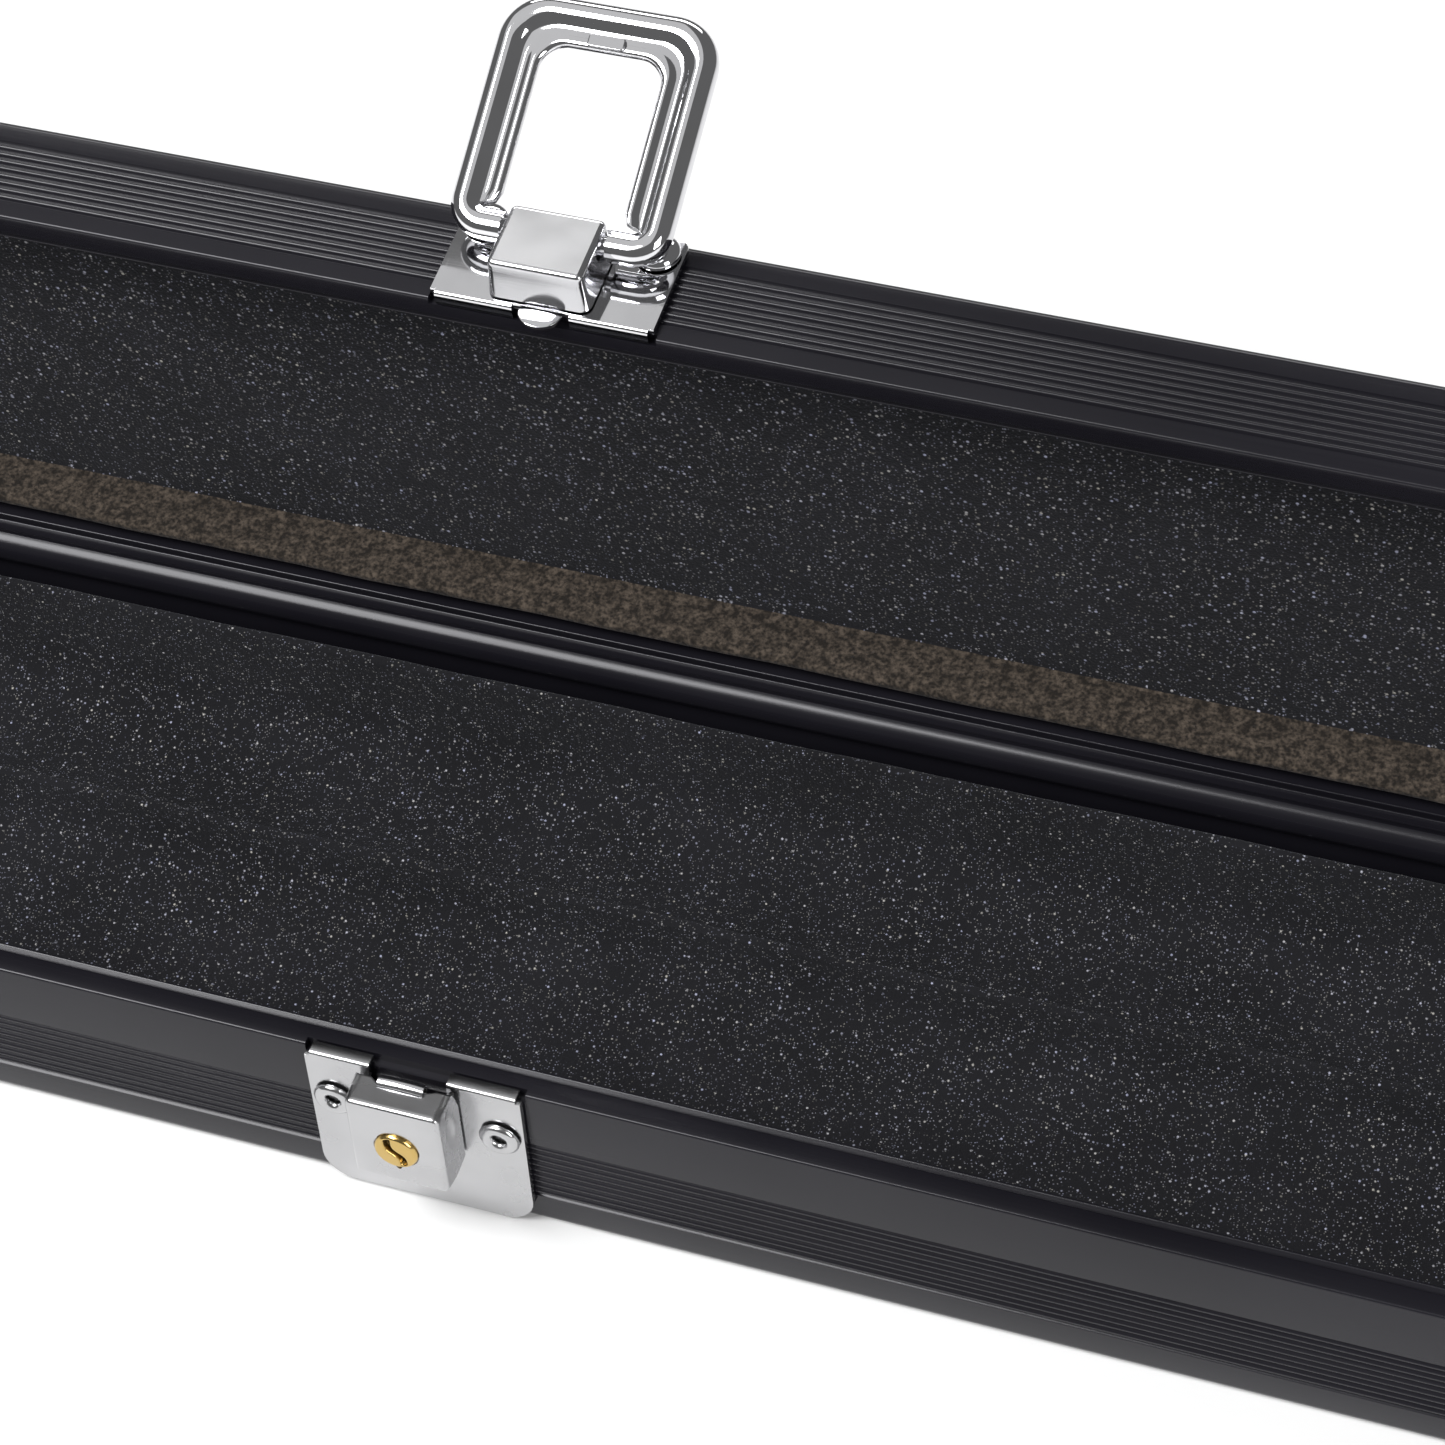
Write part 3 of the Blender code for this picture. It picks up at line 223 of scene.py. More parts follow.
@dataclass(frozen=True)
class Anodised:
    """Black dyed anodising on an extrusion, with faint die lines along it."""

    dark: tuple = (0.0085, 0.0080, 0.0115)
    light: tuple = (0.0145, 0.0138, 0.0185)
    lines: tuple = (5.0, 2600.0, 2600.0)
    cloud: float = 22.0
    grain: float = 9000.0
    rough: tuple = (0.18, 0.28)
    line_height: float = 0.012 * MM
    grain_height: float = 0.006 * MM

    def build(self) -> Material:
        """The material."""
        sketch = Sketch("black_anodising")
        drawn = sketch.noise(1.0, 3.0, sketch.stretched(self.lines))
        cloudy = sketch.noise(self.cloud, 3.0)
        grain = sketch.noise(self.grain, 1.0)
        tone = sketch.range(cloudy, 0.3, 0.7)
        sketch.link(sketch.mix(tone, self.dark, self.light), "Base Color")
        sketch.link(sketch.range(drawn, 0.25, 0.75, *self.rough), "Roughness")
        lines = sketch.bump(drawn, self.line_height, 0.5)
        sketch.link(sketch.bump(grain, self.grain_height, 0.4, lines), "Normal")
        sketch.set(Metallic=0.2, IOR=1.42)
        return sketch.material


@dataclass(frozen=True)
class Plated:
    """Bright plating on pressed steel, from mirror to satin, with painted shade in marked hollows.
    """

    name: str
    rough: float
    tone: tuple = (0.76, 0.76, 0.78)
    brushed: float = 0.25
    haze: float = 120.0
    brush: tuple = (300.0, 3500.0, 3500.0)
    ripple: float = 260.0
    ripple_height: float = 0.03 * MM
    brush_height: float = 0.008 * MM
    # How dark the painted shade in marked hollows makes the plating.
    recess_shade: float = 0.06

    def build(self) -> Material:
        """The material."""
        sketch = Sketch(self.name)
        haze = sketch.noise(self.haze, 4.0)
        brush = sketch.noise(1.0, 2.0, sketch.stretched(self.brush))
        ripple = sketch.noise(self.ripple, 1.0)
        spread = sketch.range(haze, 0.3, 0.75, self.rough * 0.75, self.rough * 1.35)
        sketch.link(spread, "Roughness")
        clean = sketch.mix(sketch.range(haze, 0.35, 0.8), self.tone, dimmed(self.tone, 0.9))
        # Painted shade: marked points, a rivet's bore or a key's slot, go near black as the shade
        # in those hollows.
        recess_shaded = dimmed(self.tone, self.recess_shade)
        sketch.link(sketch.mix(sketch.attribute("mark"), clean, recess_shaded), "Base Color")
        waves = sketch.bump(ripple, self.ripple_height, 0.12)
        sketch.link(sketch.bump(brush, self.brush_height, self.brushed, waves), "Normal")
        sketch.set(Metallic=1.0)
        return sketch.material


@dataclass(frozen=True)
class Lining:
    """Charcoal foam flecked with pale and bluish crumbs, and a brown band of painted cue
    reflection.
    """

    name: str = "flecked_lining"
    dark: tuple = (0.0058, 0.0058, 0.0072)
    crumb: tuple = (0.42, 0.44, 0.60)
    warm_crumb: tuple = (0.50, 0.48, 0.43)
    # The brown of the painted cue reflection, and how much lighter its noise can make it.
    cue_reflection: tuple = (0.014, 0.011, 0.0085)
    reflection_lift: float = 6.5
    sheen: tuple = (0.8, 0.82, 0.9, 1.0)
    fleck_share: float = 0.46
    cell: float = 1450.0
    pile: float = 2600.0
    cloud: float = 60.0
    reflection_scales: tuple = (2100.0, 800.0)
    ragged: float = 900.0
    pile_height: float = 0.22 * MM

    def fleck(self, sketch: Sketch, scale: float, share: float) -> tuple:
        """One size of crumb: the middles of a share of the cells, each at its own brightness.

        Args:
            sketch: The material in the making.
            scale: Cells to a metre.
            share: The cells' values above which a crumb shows.

        Returns:
            The crumbs' mask, and a value of their own.
        """
        distance, colour = sketch.cells(scale)
        split = sketch.add("SeparateColor", {"Color": colour})
        dot = sketch.range(distance, 0.16, 0.34, 1.0, 0.0)
        chosen = sketch.range(split.outputs["Red"], share, 1.0, 0.15, 1.0)
        shown = sketch.times(split.outputs["Red"], share, "GREATER_THAN")
        return sketch.times(dot, sketch.times(chosen, shown)), split.outputs["Green"]

    def build(self) -> Material:
        """The material."""
        sketch = Sketch(self.name)
        coarse, tint = self.fleck(sketch, 0.9 * self.cell, self.fleck_share + 0.22)
        fine, _ = self.fleck(sketch, 1.6 * self.cell, self.fleck_share - 0.2)
        crumbs = sketch.times(coarse, sketch.times(fine, 0.55), "MAXIMUM")
        pile = sketch.noise(self.pile, 3.0)
        cloudy = sketch.noise(self.cloud, 3.0)
        ground = sketch.mix(sketch.range(cloudy, 0.3, 0.7), self.dark, dimmed(self.dark, 1.7))
        crumb = sketch.mix(tint, self.crumb, self.warm_crumb)
        flecked = sketch.mix(crumbs, ground, crumb)
        # Painted reflection: the brown of a wooden cue mirrored in the lid's rear wall, as a band
        # whose brightness varies with noise and whose edge is ragged.
        reflection_noise = sketch.times(sketch.noise(self.reflection_scales[0], 1.0), sketch.noise(self.reflection_scales[1], 2.0))
        cue_reflection = sketch.mix(sketch.range(reflection_noise, 0.16, 0.42), self.cue_reflection,
                           dimmed(self.cue_reflection, self.reflection_lift))
        ragged = sketch.times(sketch.noise(self.ragged, 3.0), sketch.attribute("mark"), "ADD")
        reflection_band = sketch.range(ragged, 0.92, 1.08)
        sketch.link(sketch.mix(reflection_band, flecked, cue_reflection), "Base Color")
        height = sketch.times(pile, sketch.times(crumbs, 0.8), "ADD")
        sketch.link(sketch.bump(height, self.pile_height, 0.8), "Normal")
        sketch.set(Roughness=0.9, Sheen_Weight=0.08, Sheen_Roughness=0.5,
                   Sheen_Tint=self.sheen, Specular_IOR_Level=0.2)
        return sketch.material


@dataclass(frozen=True)
class Moulded:
    """Black plastic with a fine spark-eroded grain."""

    dark: tuple = (0.012, 0.012, 0.013)
    pale: tuple = (0.022, 0.022, 0.024)
    grain: float = 2400.0
    pebble: float = 1500.0
    rub: float = 45.0
    rough: tuple = (0.42, 0.58)
    grain_height: float = 0.03 * MM
    pebble_height: float = 0.06 * MM

    def build(self) -> Material:
        """The material."""
        sketch = Sketch("moulded_black")
        grain = sketch.noise(self.grain, 2.0)
        pebble, _ = sketch.cells(self.pebble)
        rub = sketch.noise(self.rub, 3.0)
        sketch.link(sketch.mix(sketch.range(rub, 0.35, 0.7), self.dark, self.pale),
                    "Base Color")
        sketch.link(sketch.range(rub, 0.3, 0.7, *self.rough), "Roughness")
        fine = sketch.bump(grain, self.grain_height, 0.4)
        sketch.link(sketch.bump(pebble, self.pebble_height, 0.5, fine), "Normal")
        return sketch.material


def built(finish: object) -> Material:
    """A dataclass's field that holds a finish's material."""
    return field(default_factory=finish.build)


@dataclass
class Finishes:
    """Every finish on the case, built once."""

    anodised: Material = built(Anodised())
    mirror: Material = built(Plated("mirror_chrome", 0.055, brushed=0.05))
    satin: Material = built(Plated("satin_chrome", 0.24, (0.53, 0.53, 0.54)))
    matt: Material = built(Plated("matt_chrome", 0.44, (0.66, 0.66, 0.67), 0.5))
    spring: Material = built(Plated("spring_steel", 0.15, (0.66, 0.66, 0.68)))
    brass: Material = built(Plated("turned_brass", 0.24, (0.60, 0.42, 0.15)))
    zinc: Material = built(Plated("bright_zinc", 0.22, (0.58, 0.58, 0.60)))
    lining: Material = built(Lining())
    fine_lining: Material = built(Lining("fine_lining", cell=1900.0, fleck_share=0.60))
    moulded: Material = built(Moulded())


# --- placing and mesh making -------------------------------------------------------------------

@dataclass
class Place:
    """A body, and how its pieces come to rest: a turn about X at a point, then a move."""

    body: str
    pivot: Sequence[float] = (0.0, 0.0, 0.0)
    rest: Sequence[float] = (0.0, 0.0, 0.0)
    turn: float = 0.0

    def carry(self, points: Array) -> Array:
        """Points of the shut case, carried to rest.

        Args:
            points: Rows of x, y and z.

        Returns:
            The carried rows.
        """
        cosine, sine = math.cos(self.turn), math.sin(self.turn)
        spin = np.array([[1.0, 0.0, 0.0], [0.0, cosine, -sine], [0.0, sine, cosine]])
        return (points - np.array(self.pivot)) @ spin.T + np.array(self.rest)


@dataclass
class Mesh:
    """Points and faces in the making, which other meshes can be added to."""

    points: Array
    faces: list
    marks: Array

    def plus(self, other: "Mesh") -> "Mesh":
        """This mesh with another beside it."""
        shift = len(self.points)
        moved = [tuple(corner + shift for corner in face) for face in other.faces]
        return Mesh(np.vstack([self.points, other.points]), self.faces + moved,
                    np.concatenate([self.marks, other.marks]))

    def closed(self, count: int) -> "Mesh":
        """This mesh with one more face, over its last points."""
        end = len(self.points)
        return Mesh(self.points, self.faces + [tuple(range(end - count, end))], self.marks)


def grid_faces(rows: int, columns: int, wrap: bool = False) -> Array:
    """Quads of a grid whose points run along its columns first.

    Args:
        rows: How many rows of points.
        columns: How many points to a row.
        wrap: Whether each row's end joins its start.

    Returns:
        Rows of four point numbers.
    """
    first, second = np.meshgrid(np.arange(rows - 1), np.arange(columns if wrap else columns - 1),
                                indexing="ij")
    below, beside = first + 1, (second + 1) % columns
    return np.stack([first * columns + second, first * columns + beside,
                     below * columns + beside, below * columns + second], -1).reshape(-1, 4)


def grid_mesh(points: Array, wrap: bool = True, ends: bool = False) -> Mesh:
    """A mesh from a grid of points.

    Args:
        points: Rows by columns by three.
        wrap: Whether each row's end joins its start.
        ends: Whether a face closes the first row and the last.

    Returns:
        The mesh.
    """
    rows, columns = points.shape[:2]
    faces = [tuple(face) for face in grid_faces(rows, columns, wrap).tolist()]
    end = (rows - 1) * columns
    if ends:
        faces += [tuple(range(columns)), tuple(range(end + columns - 1, end - 1, -1))]
    return Mesh(points.reshape(-1, 3), faces, np.zeros(rows * columns))


def tube(points: Array) -> Mesh:
    """A mesh of closed rings, with a face over each end."""
    return grid_mesh(points, ends=True)


def rounded(corners: Sequence[tuple], steps: int = 5) -> Array:
    """A closed polygon with an arc in place of each corner.

    Each corner's arc touches both of its sides at radius / tan(half the corner's angle), and
    runs as a blend that keeps the radius.

    Args:
        corners: The corners, each (u, v, radius).
        steps: Spans in each arc.

    Returns:
        Rows of u and v.
    """
    data = np.array(corners, float)
    spots, radii = data[:, :2], data[:, 2]
    pieces = []
    for index, (spot, radius) in enumerate(zip(spots, radii)):
        if radius <= 0:
            pieces.append(spot[None])
            continue
        before = spots[index - 1] - spot
        after = spots[(index + 1) % len(spots)] - spot
        before, after = before / np.linalg.norm(before), after / np.linalg.norm(after)
        half = math.acos(np.clip(before @ after, -1, 1)) / 2
        centre = spot + (before + after) / np.linalg.norm(before + after) * radius / math.sin(half)
        start = spot + before * radius / math.tan(half) - centre
        finish = spot + after * radius / math.tan(half) - centre
        span = math.atan2(start[0] * finish[1] - start[1] * finish[0], start @ finish)
        angles = np.linspace(0, span, steps + 1)
        swung = np.stack([start[0] * np.cos(angles) - start[1] * np.sin(angles),
                          start[0] * np.sin(angles) + start[1] * np.cos(angles)], -1)
        pieces.append(centre + swung)
    return np.vstack(pieces)


def panel(low: Sequence[float], high: Sequence[float], radii: Sequence[float],
          steps: int) -> Array:
    """An upright rectangle's outline, with one radius below and another above."""
    return rounded([(low[0], low[1], radii[0]), (high[0], low[1], radii[0]),
                    (high[0], high[1], radii[1]), (low[0], high[1], radii[1])], steps)


def bare(rows: Array) -> Array:
    """Rows of two coordinates, as corners with no rounding."""
    return np.column_stack([rows, np.zeros(len(rows))])


def arc(centre: Sequence[float], radius: float, start: float, finish: float,
        steps: int) -> Array:
    """Points on an arc, from one angle in degrees to another."""
    angles = np.radians(np.linspace(start, finish, steps + 1))
    return np.stack([centre[0] + radius * np.cos(angles),
                     centre[1] + radius * np.sin(angles)], -1)


def circle(count: int) -> Array:
    """Angles of so many points spaced evenly round a circle."""
    return np.linspace(0, ROUND, count, endpoint=False)


def mirrored(half: Array) -> Array:
    """A line from one side to the middle, carried on to the other side."""
    return np.vstack([half, (half * [-1, 1])[-2::-1]])


def headings(line: Array) -> Array:
    """Unit vectors along an open line."""
    along = np.gradient(line, axis=0)
    return along / np.linalg.norm(along, axis=1, keepdims=True)


def within(value: Array, edge: float, blur: float) -> Array:
    """1 where a value is below an edge and 0 above it, blurred as a logistic curve."""
    return 1 / (1 + np.exp((value - edge) / blur))


def rolled(edge: float, steps: int) -> tuple:
    """A rim's quarter turn: how far it draws in and how far it runs back, from flat to full."""
    turn = np.linspace(QUARTER, 0, steps + 1)
    return edge * (1 - np.cos(turn)), edge * (1 - np.sin(turn))


def respaced(loop: Array, count: int) -> Array:
    """A closed loop with evenly spaced points, which keeps its own corners' places roughly."""
    ring = np.vstack([loop, loop[:1]])
    walked = np.concatenate([[0], np.cumsum(np.linalg.norm(np.diff(ring, axis=0), axis=1))])
    spots = np.linspace(0, walked[-1], count, endpoint=False)
    return np.stack([np.interp(spots, walked, ring[:, axis]) for axis in (0, 1)], -1)


def outward(loop: Array) -> Array:
    """Unit normals of a closed loop, pointing out of it."""
    along = np.roll(loop, -1, 0) - np.roll(loop, 1, 0)
    normal = np.stack([along[:, 1], -along[:, 0]], -1)
    normal /= np.maximum(np.linalg.norm(normal, axis=1, keepdims=True), 1e-12)
    area = np.sum(loop[:, 0] * np.roll(loop[:, 1], -1) - np.roll(loop[:, 0], -1) * loop[:, 1])
    return normal if area > 0 else -normal


def drawn_in(loop: Array, insets: Array) -> Array:
    """Copies of a loop, each drawn in by its own inset, or by one for each point."""
    insets = insets[:, None] if insets.ndim == 1 else insets
    return loop[None] - outward(loop)[None] * insets[..., None]


def laid(loop: Array, depth: Array, plane: Plane) -> Array:
    """Loops in a plane, each at its own depth, as rows of points in space.

    Args:
        loop: Loops by points by two, or points by two for the same loop each time.
        depth: Loops by points, or one depth to a loop.
        plane: The plane they are drawn in.

    Returns:
        Loops by points by three.
    """
    depth = depth[:, None] if depth.ndim == 1 else depth
    out = np.zeros((len(depth), loop.shape[-2], 3))
    out[..., plane.value[:2]] = loop
    out[..., plane.value[2]] = depth
    return out


def strung(stations: Array, section: Array) -> Array:
    """A section of y and z, set at each station along the case."""
    points = np.zeros((len(stations), len(section), 3))
    points[..., 0], points[..., 1:] = stations[:, None], section
    return points


def pillow(loop: Array, low: float, high: float, edge: float, plane: Plane) -> Mesh:
    """A flat outline with thickness and rounded rims.

    Ring by ring the outline draws in by edge times (1 - sin a) while its depth runs by edge
    times (1 - cos a), over a quarter turn at each face.

    Args:
        loop: The outline.
        low: The depth of one face.
        high: The depth of the other.
        edge: The radius of both rims.
        plane: The plane of the outline.

    Returns:
        The closed mesh.
    """
    turn = np.linspace(0, QUARTER, 4)
    inset, run = edge * (1 - np.sin(turn)), edge * (1 - np.cos(turn))
    rings = drawn_in(loop, np.concatenate([inset, inset[::-1]]))
    return tube(laid(rings, np.concatenate([low + run, (high - run)[::-1]]), plane))


def turned(profile: Array, centre: Sequence[float], segments: int = 48) -> Mesh:
    """A profile turned about an axis that points to the front.

    Args:
        profile: Rows of radius and height, from the head's middle to the far end's.
        centre: Where height is nought.
        segments: Steps round the axis.

    Returns:
        The closed mesh.
    """
    angles = circle(segments)
    radius, height = profile[:, :1], profile[:, 1:]
    points = np.stack([radius * np.cos(angles), -height * np.ones_like(angles),
                       radius * np.sin(angles)], -1)
    return grid_mesh(points + np.array(centre))


def make_piece(name: str, mesh: Mesh, finish: Material, place: Place, node: Optional[str],
               sharp: float = 38.0) -> Piece:
    """Put a mesh into the scene as one piece that may stand for a frame node.

    Args:
        name: The piece's name.
        mesh: Its points and faces, as the shut case has them.
        finish: Its material.
        place: The body it rides on, and how it comes to rest.
        node: The frame node it stands for, if any.
        sharp: The angle, in degrees, past which an edge is shown sharp.

    Returns:
        The piece.
    """
    data = bpy.data.meshes.new(name)
    data.from_pydata(place.carry(mesh.points).tolist(), [], mesh.faces)
    if mesh.marks.any():
        data.attributes.new("mark", "FLOAT", "POINT").data.foreach_set("value", mesh.marks)
    shape = bmesh.new()
    shape.from_mesh(data)
    bmesh.ops.remove_doubles(shape, verts=shape.verts, dist=2e-7)
    bmesh.ops.dissolve_degenerate(shape, edges=shape.edges, dist=1e-7)
    bmesh.ops.recalc_face_normals(shape, faces=shape.faces)
    shape.to_mesh(data)
    shape.free()
    data.shade_smooth()
    data.set_sharp_from_angle(angle=math.radians(sharp))
    corners = np.zeros(len(data.polygons), np.int32)
    data.polygons.foreach_get("loop_total", corners)
    data.polygons.foreach_set("use_smooth", corners <= 4)
    data.materials.append(finish)
    piece = bpy.data.objects.new(name, data)
    bpy.context.scene.collection.objects.link(piece)
    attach(piece, place.body)
    if node:
        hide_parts(node)
    LOG.info("%s: %d points on body %s", name, len(data.vertices), place.body)
    return piece


def dress(node: str, finish: Material) -> None:
    """Give a frame node that stays its material."""
    data = frame["nodes"][node].data
    data.materials.clear()
    data.materials.append(finish)
    LOG.info("%s: kept, dressed in %s", node, finish.name)


def joint(name: str) -> dict:
    """The frame's joint of a name."""
    return next(entry for entry in frame["joints"] if entry["name"] == name)


def middle_of(node: str) -> tuple:
    """The middle of a node's box across the front, as x and z."""
    low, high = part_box(node)
    return (low.x + high.x) / 2, (low.z + high.z) / 2


def latch_x(side: Side) -> float:
    """The middle of a latch's plates along the case."""
    return middle_of("lock_plate_" + side.word)[0]


# --- the case's own sizes ----------------------------------------------------------------------

@dataclass(frozen=True)
class Case:
    """Sizes that the shells, the linings and the locks share."""

    front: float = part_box("base_cap_left")[0].y
    rear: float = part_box("base_cap_left")[1].y
    base_height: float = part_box("base_cap_left")[1].z
    end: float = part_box("base_shell")[1].x
    hinge: tuple = tuple(joint("lid_hinge")["pos_m"])
    opened: float = math.radians(joint("lid_hinge")["range_deg"][1])
    wall: float = 1.5 * MM
    lid_height: float = 14.4 * MM
    parting: float = 0.3 * MM
    gap: float = 0.3 * MM
    corner: float = 1.0 * MM
    soft: float = 0.5 * MM
    rim_width: float = 3.0 * MM
    rim_depth: float = 2.5 * MM
    lip_width: float = 1.4 * MM
    plate: float = 0.8 * MM

    @property
    def lid_rim(self) -> float:
        """The height of the lid's rim when shut."""
        return self.base_height + self.parting

    @property
    def lid_top(self) -> float:
        """The height of the lid's top when shut."""
        return self.lid_rim + self.lid_height

    @property
    def inner(self) -> float:
        """How far the walls' inner faces are from the middle."""
        return self.rear - self.wall

    @property
    def plate_front(self) -> float:
        """The outer face of a latch plate."""
        return self.front - self.gap - self.plate

    @property
    def seat(self) -> float:
        """Where what stands on a latch plate starts."""
        return self.plate_front - self.gap


CASE = Case()
BASE = Place("base")
LID = Place("lid", CASE.hinge, CASE.hinge, -CASE.opened)


# --- shells ------------------------------------------------------------------------------------

@dataclass
class Shell:
    """The two extrusions, each a section carried along the case."""

    finishes: Finishes
    rib_pitch: float = 1.04 * MM
    rib_groove: float = 0.54 * MM
    rib_depth: float = 0.42 * MM
    rib_crown: float = 0.12 * MM
    crown_power: float = 2.6
    base_ribs: int = 9
    base_ribs_drop: float = 8.9 * MM
    lid_ribs: int = 8
    lid_ribs_rise: float = 2.4 * MM
    rear_ribs_rise: float = 1.5 * MM
    socket_outer: float = 2.6 * MM
    socket_inner: float = 1.75 * MM
    slack: float = 5.0
    lip_turn: float = 3.0
    bead: float = 1.45 * MM
    neck: float = 0.7 * MM
    groove_depth: float = 1.7 * MM
    bead_drop: float = 0.25 * MM
    pocket_reach: float = 1.0 * MM
    pocket_depth: float = 1.1 * MM
    hair: float = 0.02 * MM

    def ribs(self, face: float, inward: float, low: float, count: int) -> Array:
        """A band of ribs up a wall, as corners with no rounding.

        Each rib's face is a shallow curve that falls away by the crown at its two edges, and
        a steep-sided groove lies between it and the next.

        Args:
            face: The wall's outer face.
            inward: The sign of Y that leads into the wall.
            low: The foot of the lowest groove.
            count: How many ribs.

        Returns:
            Rows of (y, z, 0).
        """
        steps = np.array([0.2, 0.5, 0.8, 1.0]) * self.rib_groove
        sinks = np.array([0.62, 1.0, 0.62, 0.0]) * self.rib_depth
        rib = np.arange(count)[:, None] * self.rib_pitch + low + self.rib_groove
        share = np.linspace(0, 1, 7)[None]
        up = rib + share * (self.rib_pitch - self.rib_groove)
        fall = self.rib_crown * np.abs(2 * share - 1) ** self.crown_power * np.ones_like(up)
        groove = steps[None, :3] + rib - self.rib_groove
        sink = sinks[None, :3] * np.ones_like(groove)
        height = np.concatenate([[low], np.hstack([groove, up]).ravel(),
                                 low + count * self.rib_pitch + steps])
        depth = np.concatenate([[0.0], np.hstack([sink, fall]).ravel(), sinks])
        return bare(np.stack([face + inward * depth, height], -1))

    def front_rim(self, rim: float, sense: float) -> list:
        """Corners over a front rim, from its outer edge to the underside of its inner lip.

        Args:
            rim: The rim's height.
            sense: 1 where the wall hangs below the rim, -1 where it stands above it.

        Returns:
            The corners, each (y, z, radius).
        """
        edge = CASE.front + CASE.rim_width
        lip = edge + CASE.lip_width
        under = rim - sense * CASE.rim_depth
        pocket = (CASE.front + self.pocket_reach, rim, 0.0)
        return [(CASE.front, rim, 0.35 * MM), pocket, pocket, (edge, rim, 0.30 * MM),
                (edge, rim - sense * self.groove_depth, 0.10 * MM),
                (lip, rim - sense * self.bead_drop, 0.22 * MM), (lip, under, 0.35 * MM),
                (-CASE.inner, under, 0.3 * MM)]

    def carried(self, corners: Sequence[Array], place: Place, rim: float,
                sense: float) -> None:
        """Carry a section along the case, sinking its outer rim where a flange folds over it.

        Args:
            corners: The section's corners, in runs of (y, z, radius).
            place: The body, and how the shell comes to rest.
            rim: The rim's height.
            sense: 1 where the wall hangs below the rim, -1 where it stands above it.
        """
        section = rounded(np.vstack(corners))
        half = PlatePair.half_width + CASE.gap
        marks = [np.linspace(-CASE.end, CASE.end, 41)]
        for side in Side:
            for edge in (-half, half):
                spot = latch_x(side) + edge
                marks.append([spot - math.copysign(self.hair, edge), spot])
        stations = np.sort(np.concatenate(marks))
        points = strung(stations, section)
        sunk = np.zeros(len(stations), bool)
        for side in Side:
            sunk |= np.abs(stations - latch_x(side)) < half - self.hair / 2
        outer = np.abs(section[:, 1] - rim) < CASE.gap + 0.06 * MM
        first = np.argmax(outer & (section[:, 0] < CASE.front + 0.01 * MM))
        keep = np.flatnonzero(outer & (section[:, 0] < CASE.front + self.pocket_reach + 1e-6))
        keep = keep[keep >= first][:-1] if sense > 0 else keep[1:]
        points[np.ix_(np.flatnonzero(sunk), keep, [2])] = rim - sense * self.pocket_depth
        make_piece(place.body + "_extrusion", tube(points), self.finishes.anodised, place,
                   place.body + "_shell", 33.0)

    def build_base(self) -> None:
        """The base: a tray whose rear wall ends in the hinge's socket."""
        hinge, rim = CASE.hinge[1:], CASE.base_height
        low = rim - self.base_ribs_drop - self.base_ribs * self.rib_pitch - self.rib_groove
        half = math.degrees(math.asin(self.neck / 2 / self.socket_inner))
        shut = 90 + half + self.slack + self.lip_turn
        wide = 360 + 90 - math.degrees(CASE.opened) - half - self.slack - self.lip_turn
        meets = 180 + math.degrees(math.acos(CASE.wall / self.socket_outer))
        wall_top = hinge[1] - math.sqrt(self.socket_outer ** 2 - CASE.wall ** 2)
        self.carried([
            [(CASE.front, 0.0, CASE.corner)], self.ribs(CASE.front, 1, low, self.base_ribs),
            self.front_rim(rim, 1),
            [(-CASE.inner, CASE.wall, CASE.soft), (CASE.inner, CASE.wall, CASE.soft),
             (CASE.inner, wall_top, 0.0)],
            bare(arc(hinge, self.socket_outer, meets, shut, 22)[1:]),
            bare(arc(hinge, self.socket_inner, shut, wide, 30)),
            bare(arc(hinge, self.socket_outer, wide, 272, 14)),
            self.ribs(CASE.rear, -1, low, self.base_ribs)[::-1],
            [(CASE.rear, 0.0, CASE.corner)]], BASE, rim, 1)

    def build_lid(self) -> None:
        """The lid: a shallow tray whose rear wall ends in the hinge's bead."""
        hinge, rim = CASE.hinge[1:], CASE.lid_rim
        low = rim + self.lid_ribs_rise
        foot = hinge[1] + self.socket_outer + CASE.gap
        half = self.neck / 2
        sweep = math.degrees(math.asin(half / self.bead))
        under = CASE.lid_top - CASE.wall
        self.carried([
            self.front_rim(rim, -1)[::-1], self.ribs(CASE.front, 1, low, self.lid_ribs),
            [(CASE.front, CASE.lid_top, CASE.corner), (CASE.rear, CASE.lid_top, CASE.corner)],
            self.ribs(CASE.rear, -1, low + self.rear_ribs_rise, self.lid_ribs - 1)[::-1],
            [(CASE.rear, foot + 2 * half, 0.3 * MM), (CASE.rear + half, foot + half, 0.15 * MM)],
            bare(arc(hinge, self.bead, 90 - sweep, -270 + sweep, 28)),
            [(CASE.rear - half, foot, 0.2 * MM), (CASE.inner, foot, 0.2 * MM),
             (CASE.inner, under, CASE.soft), (-CASE.inner, under, CASE.soft)]], LID, rim, -1)


# --- linings -----------------------------------------------------------------------------------

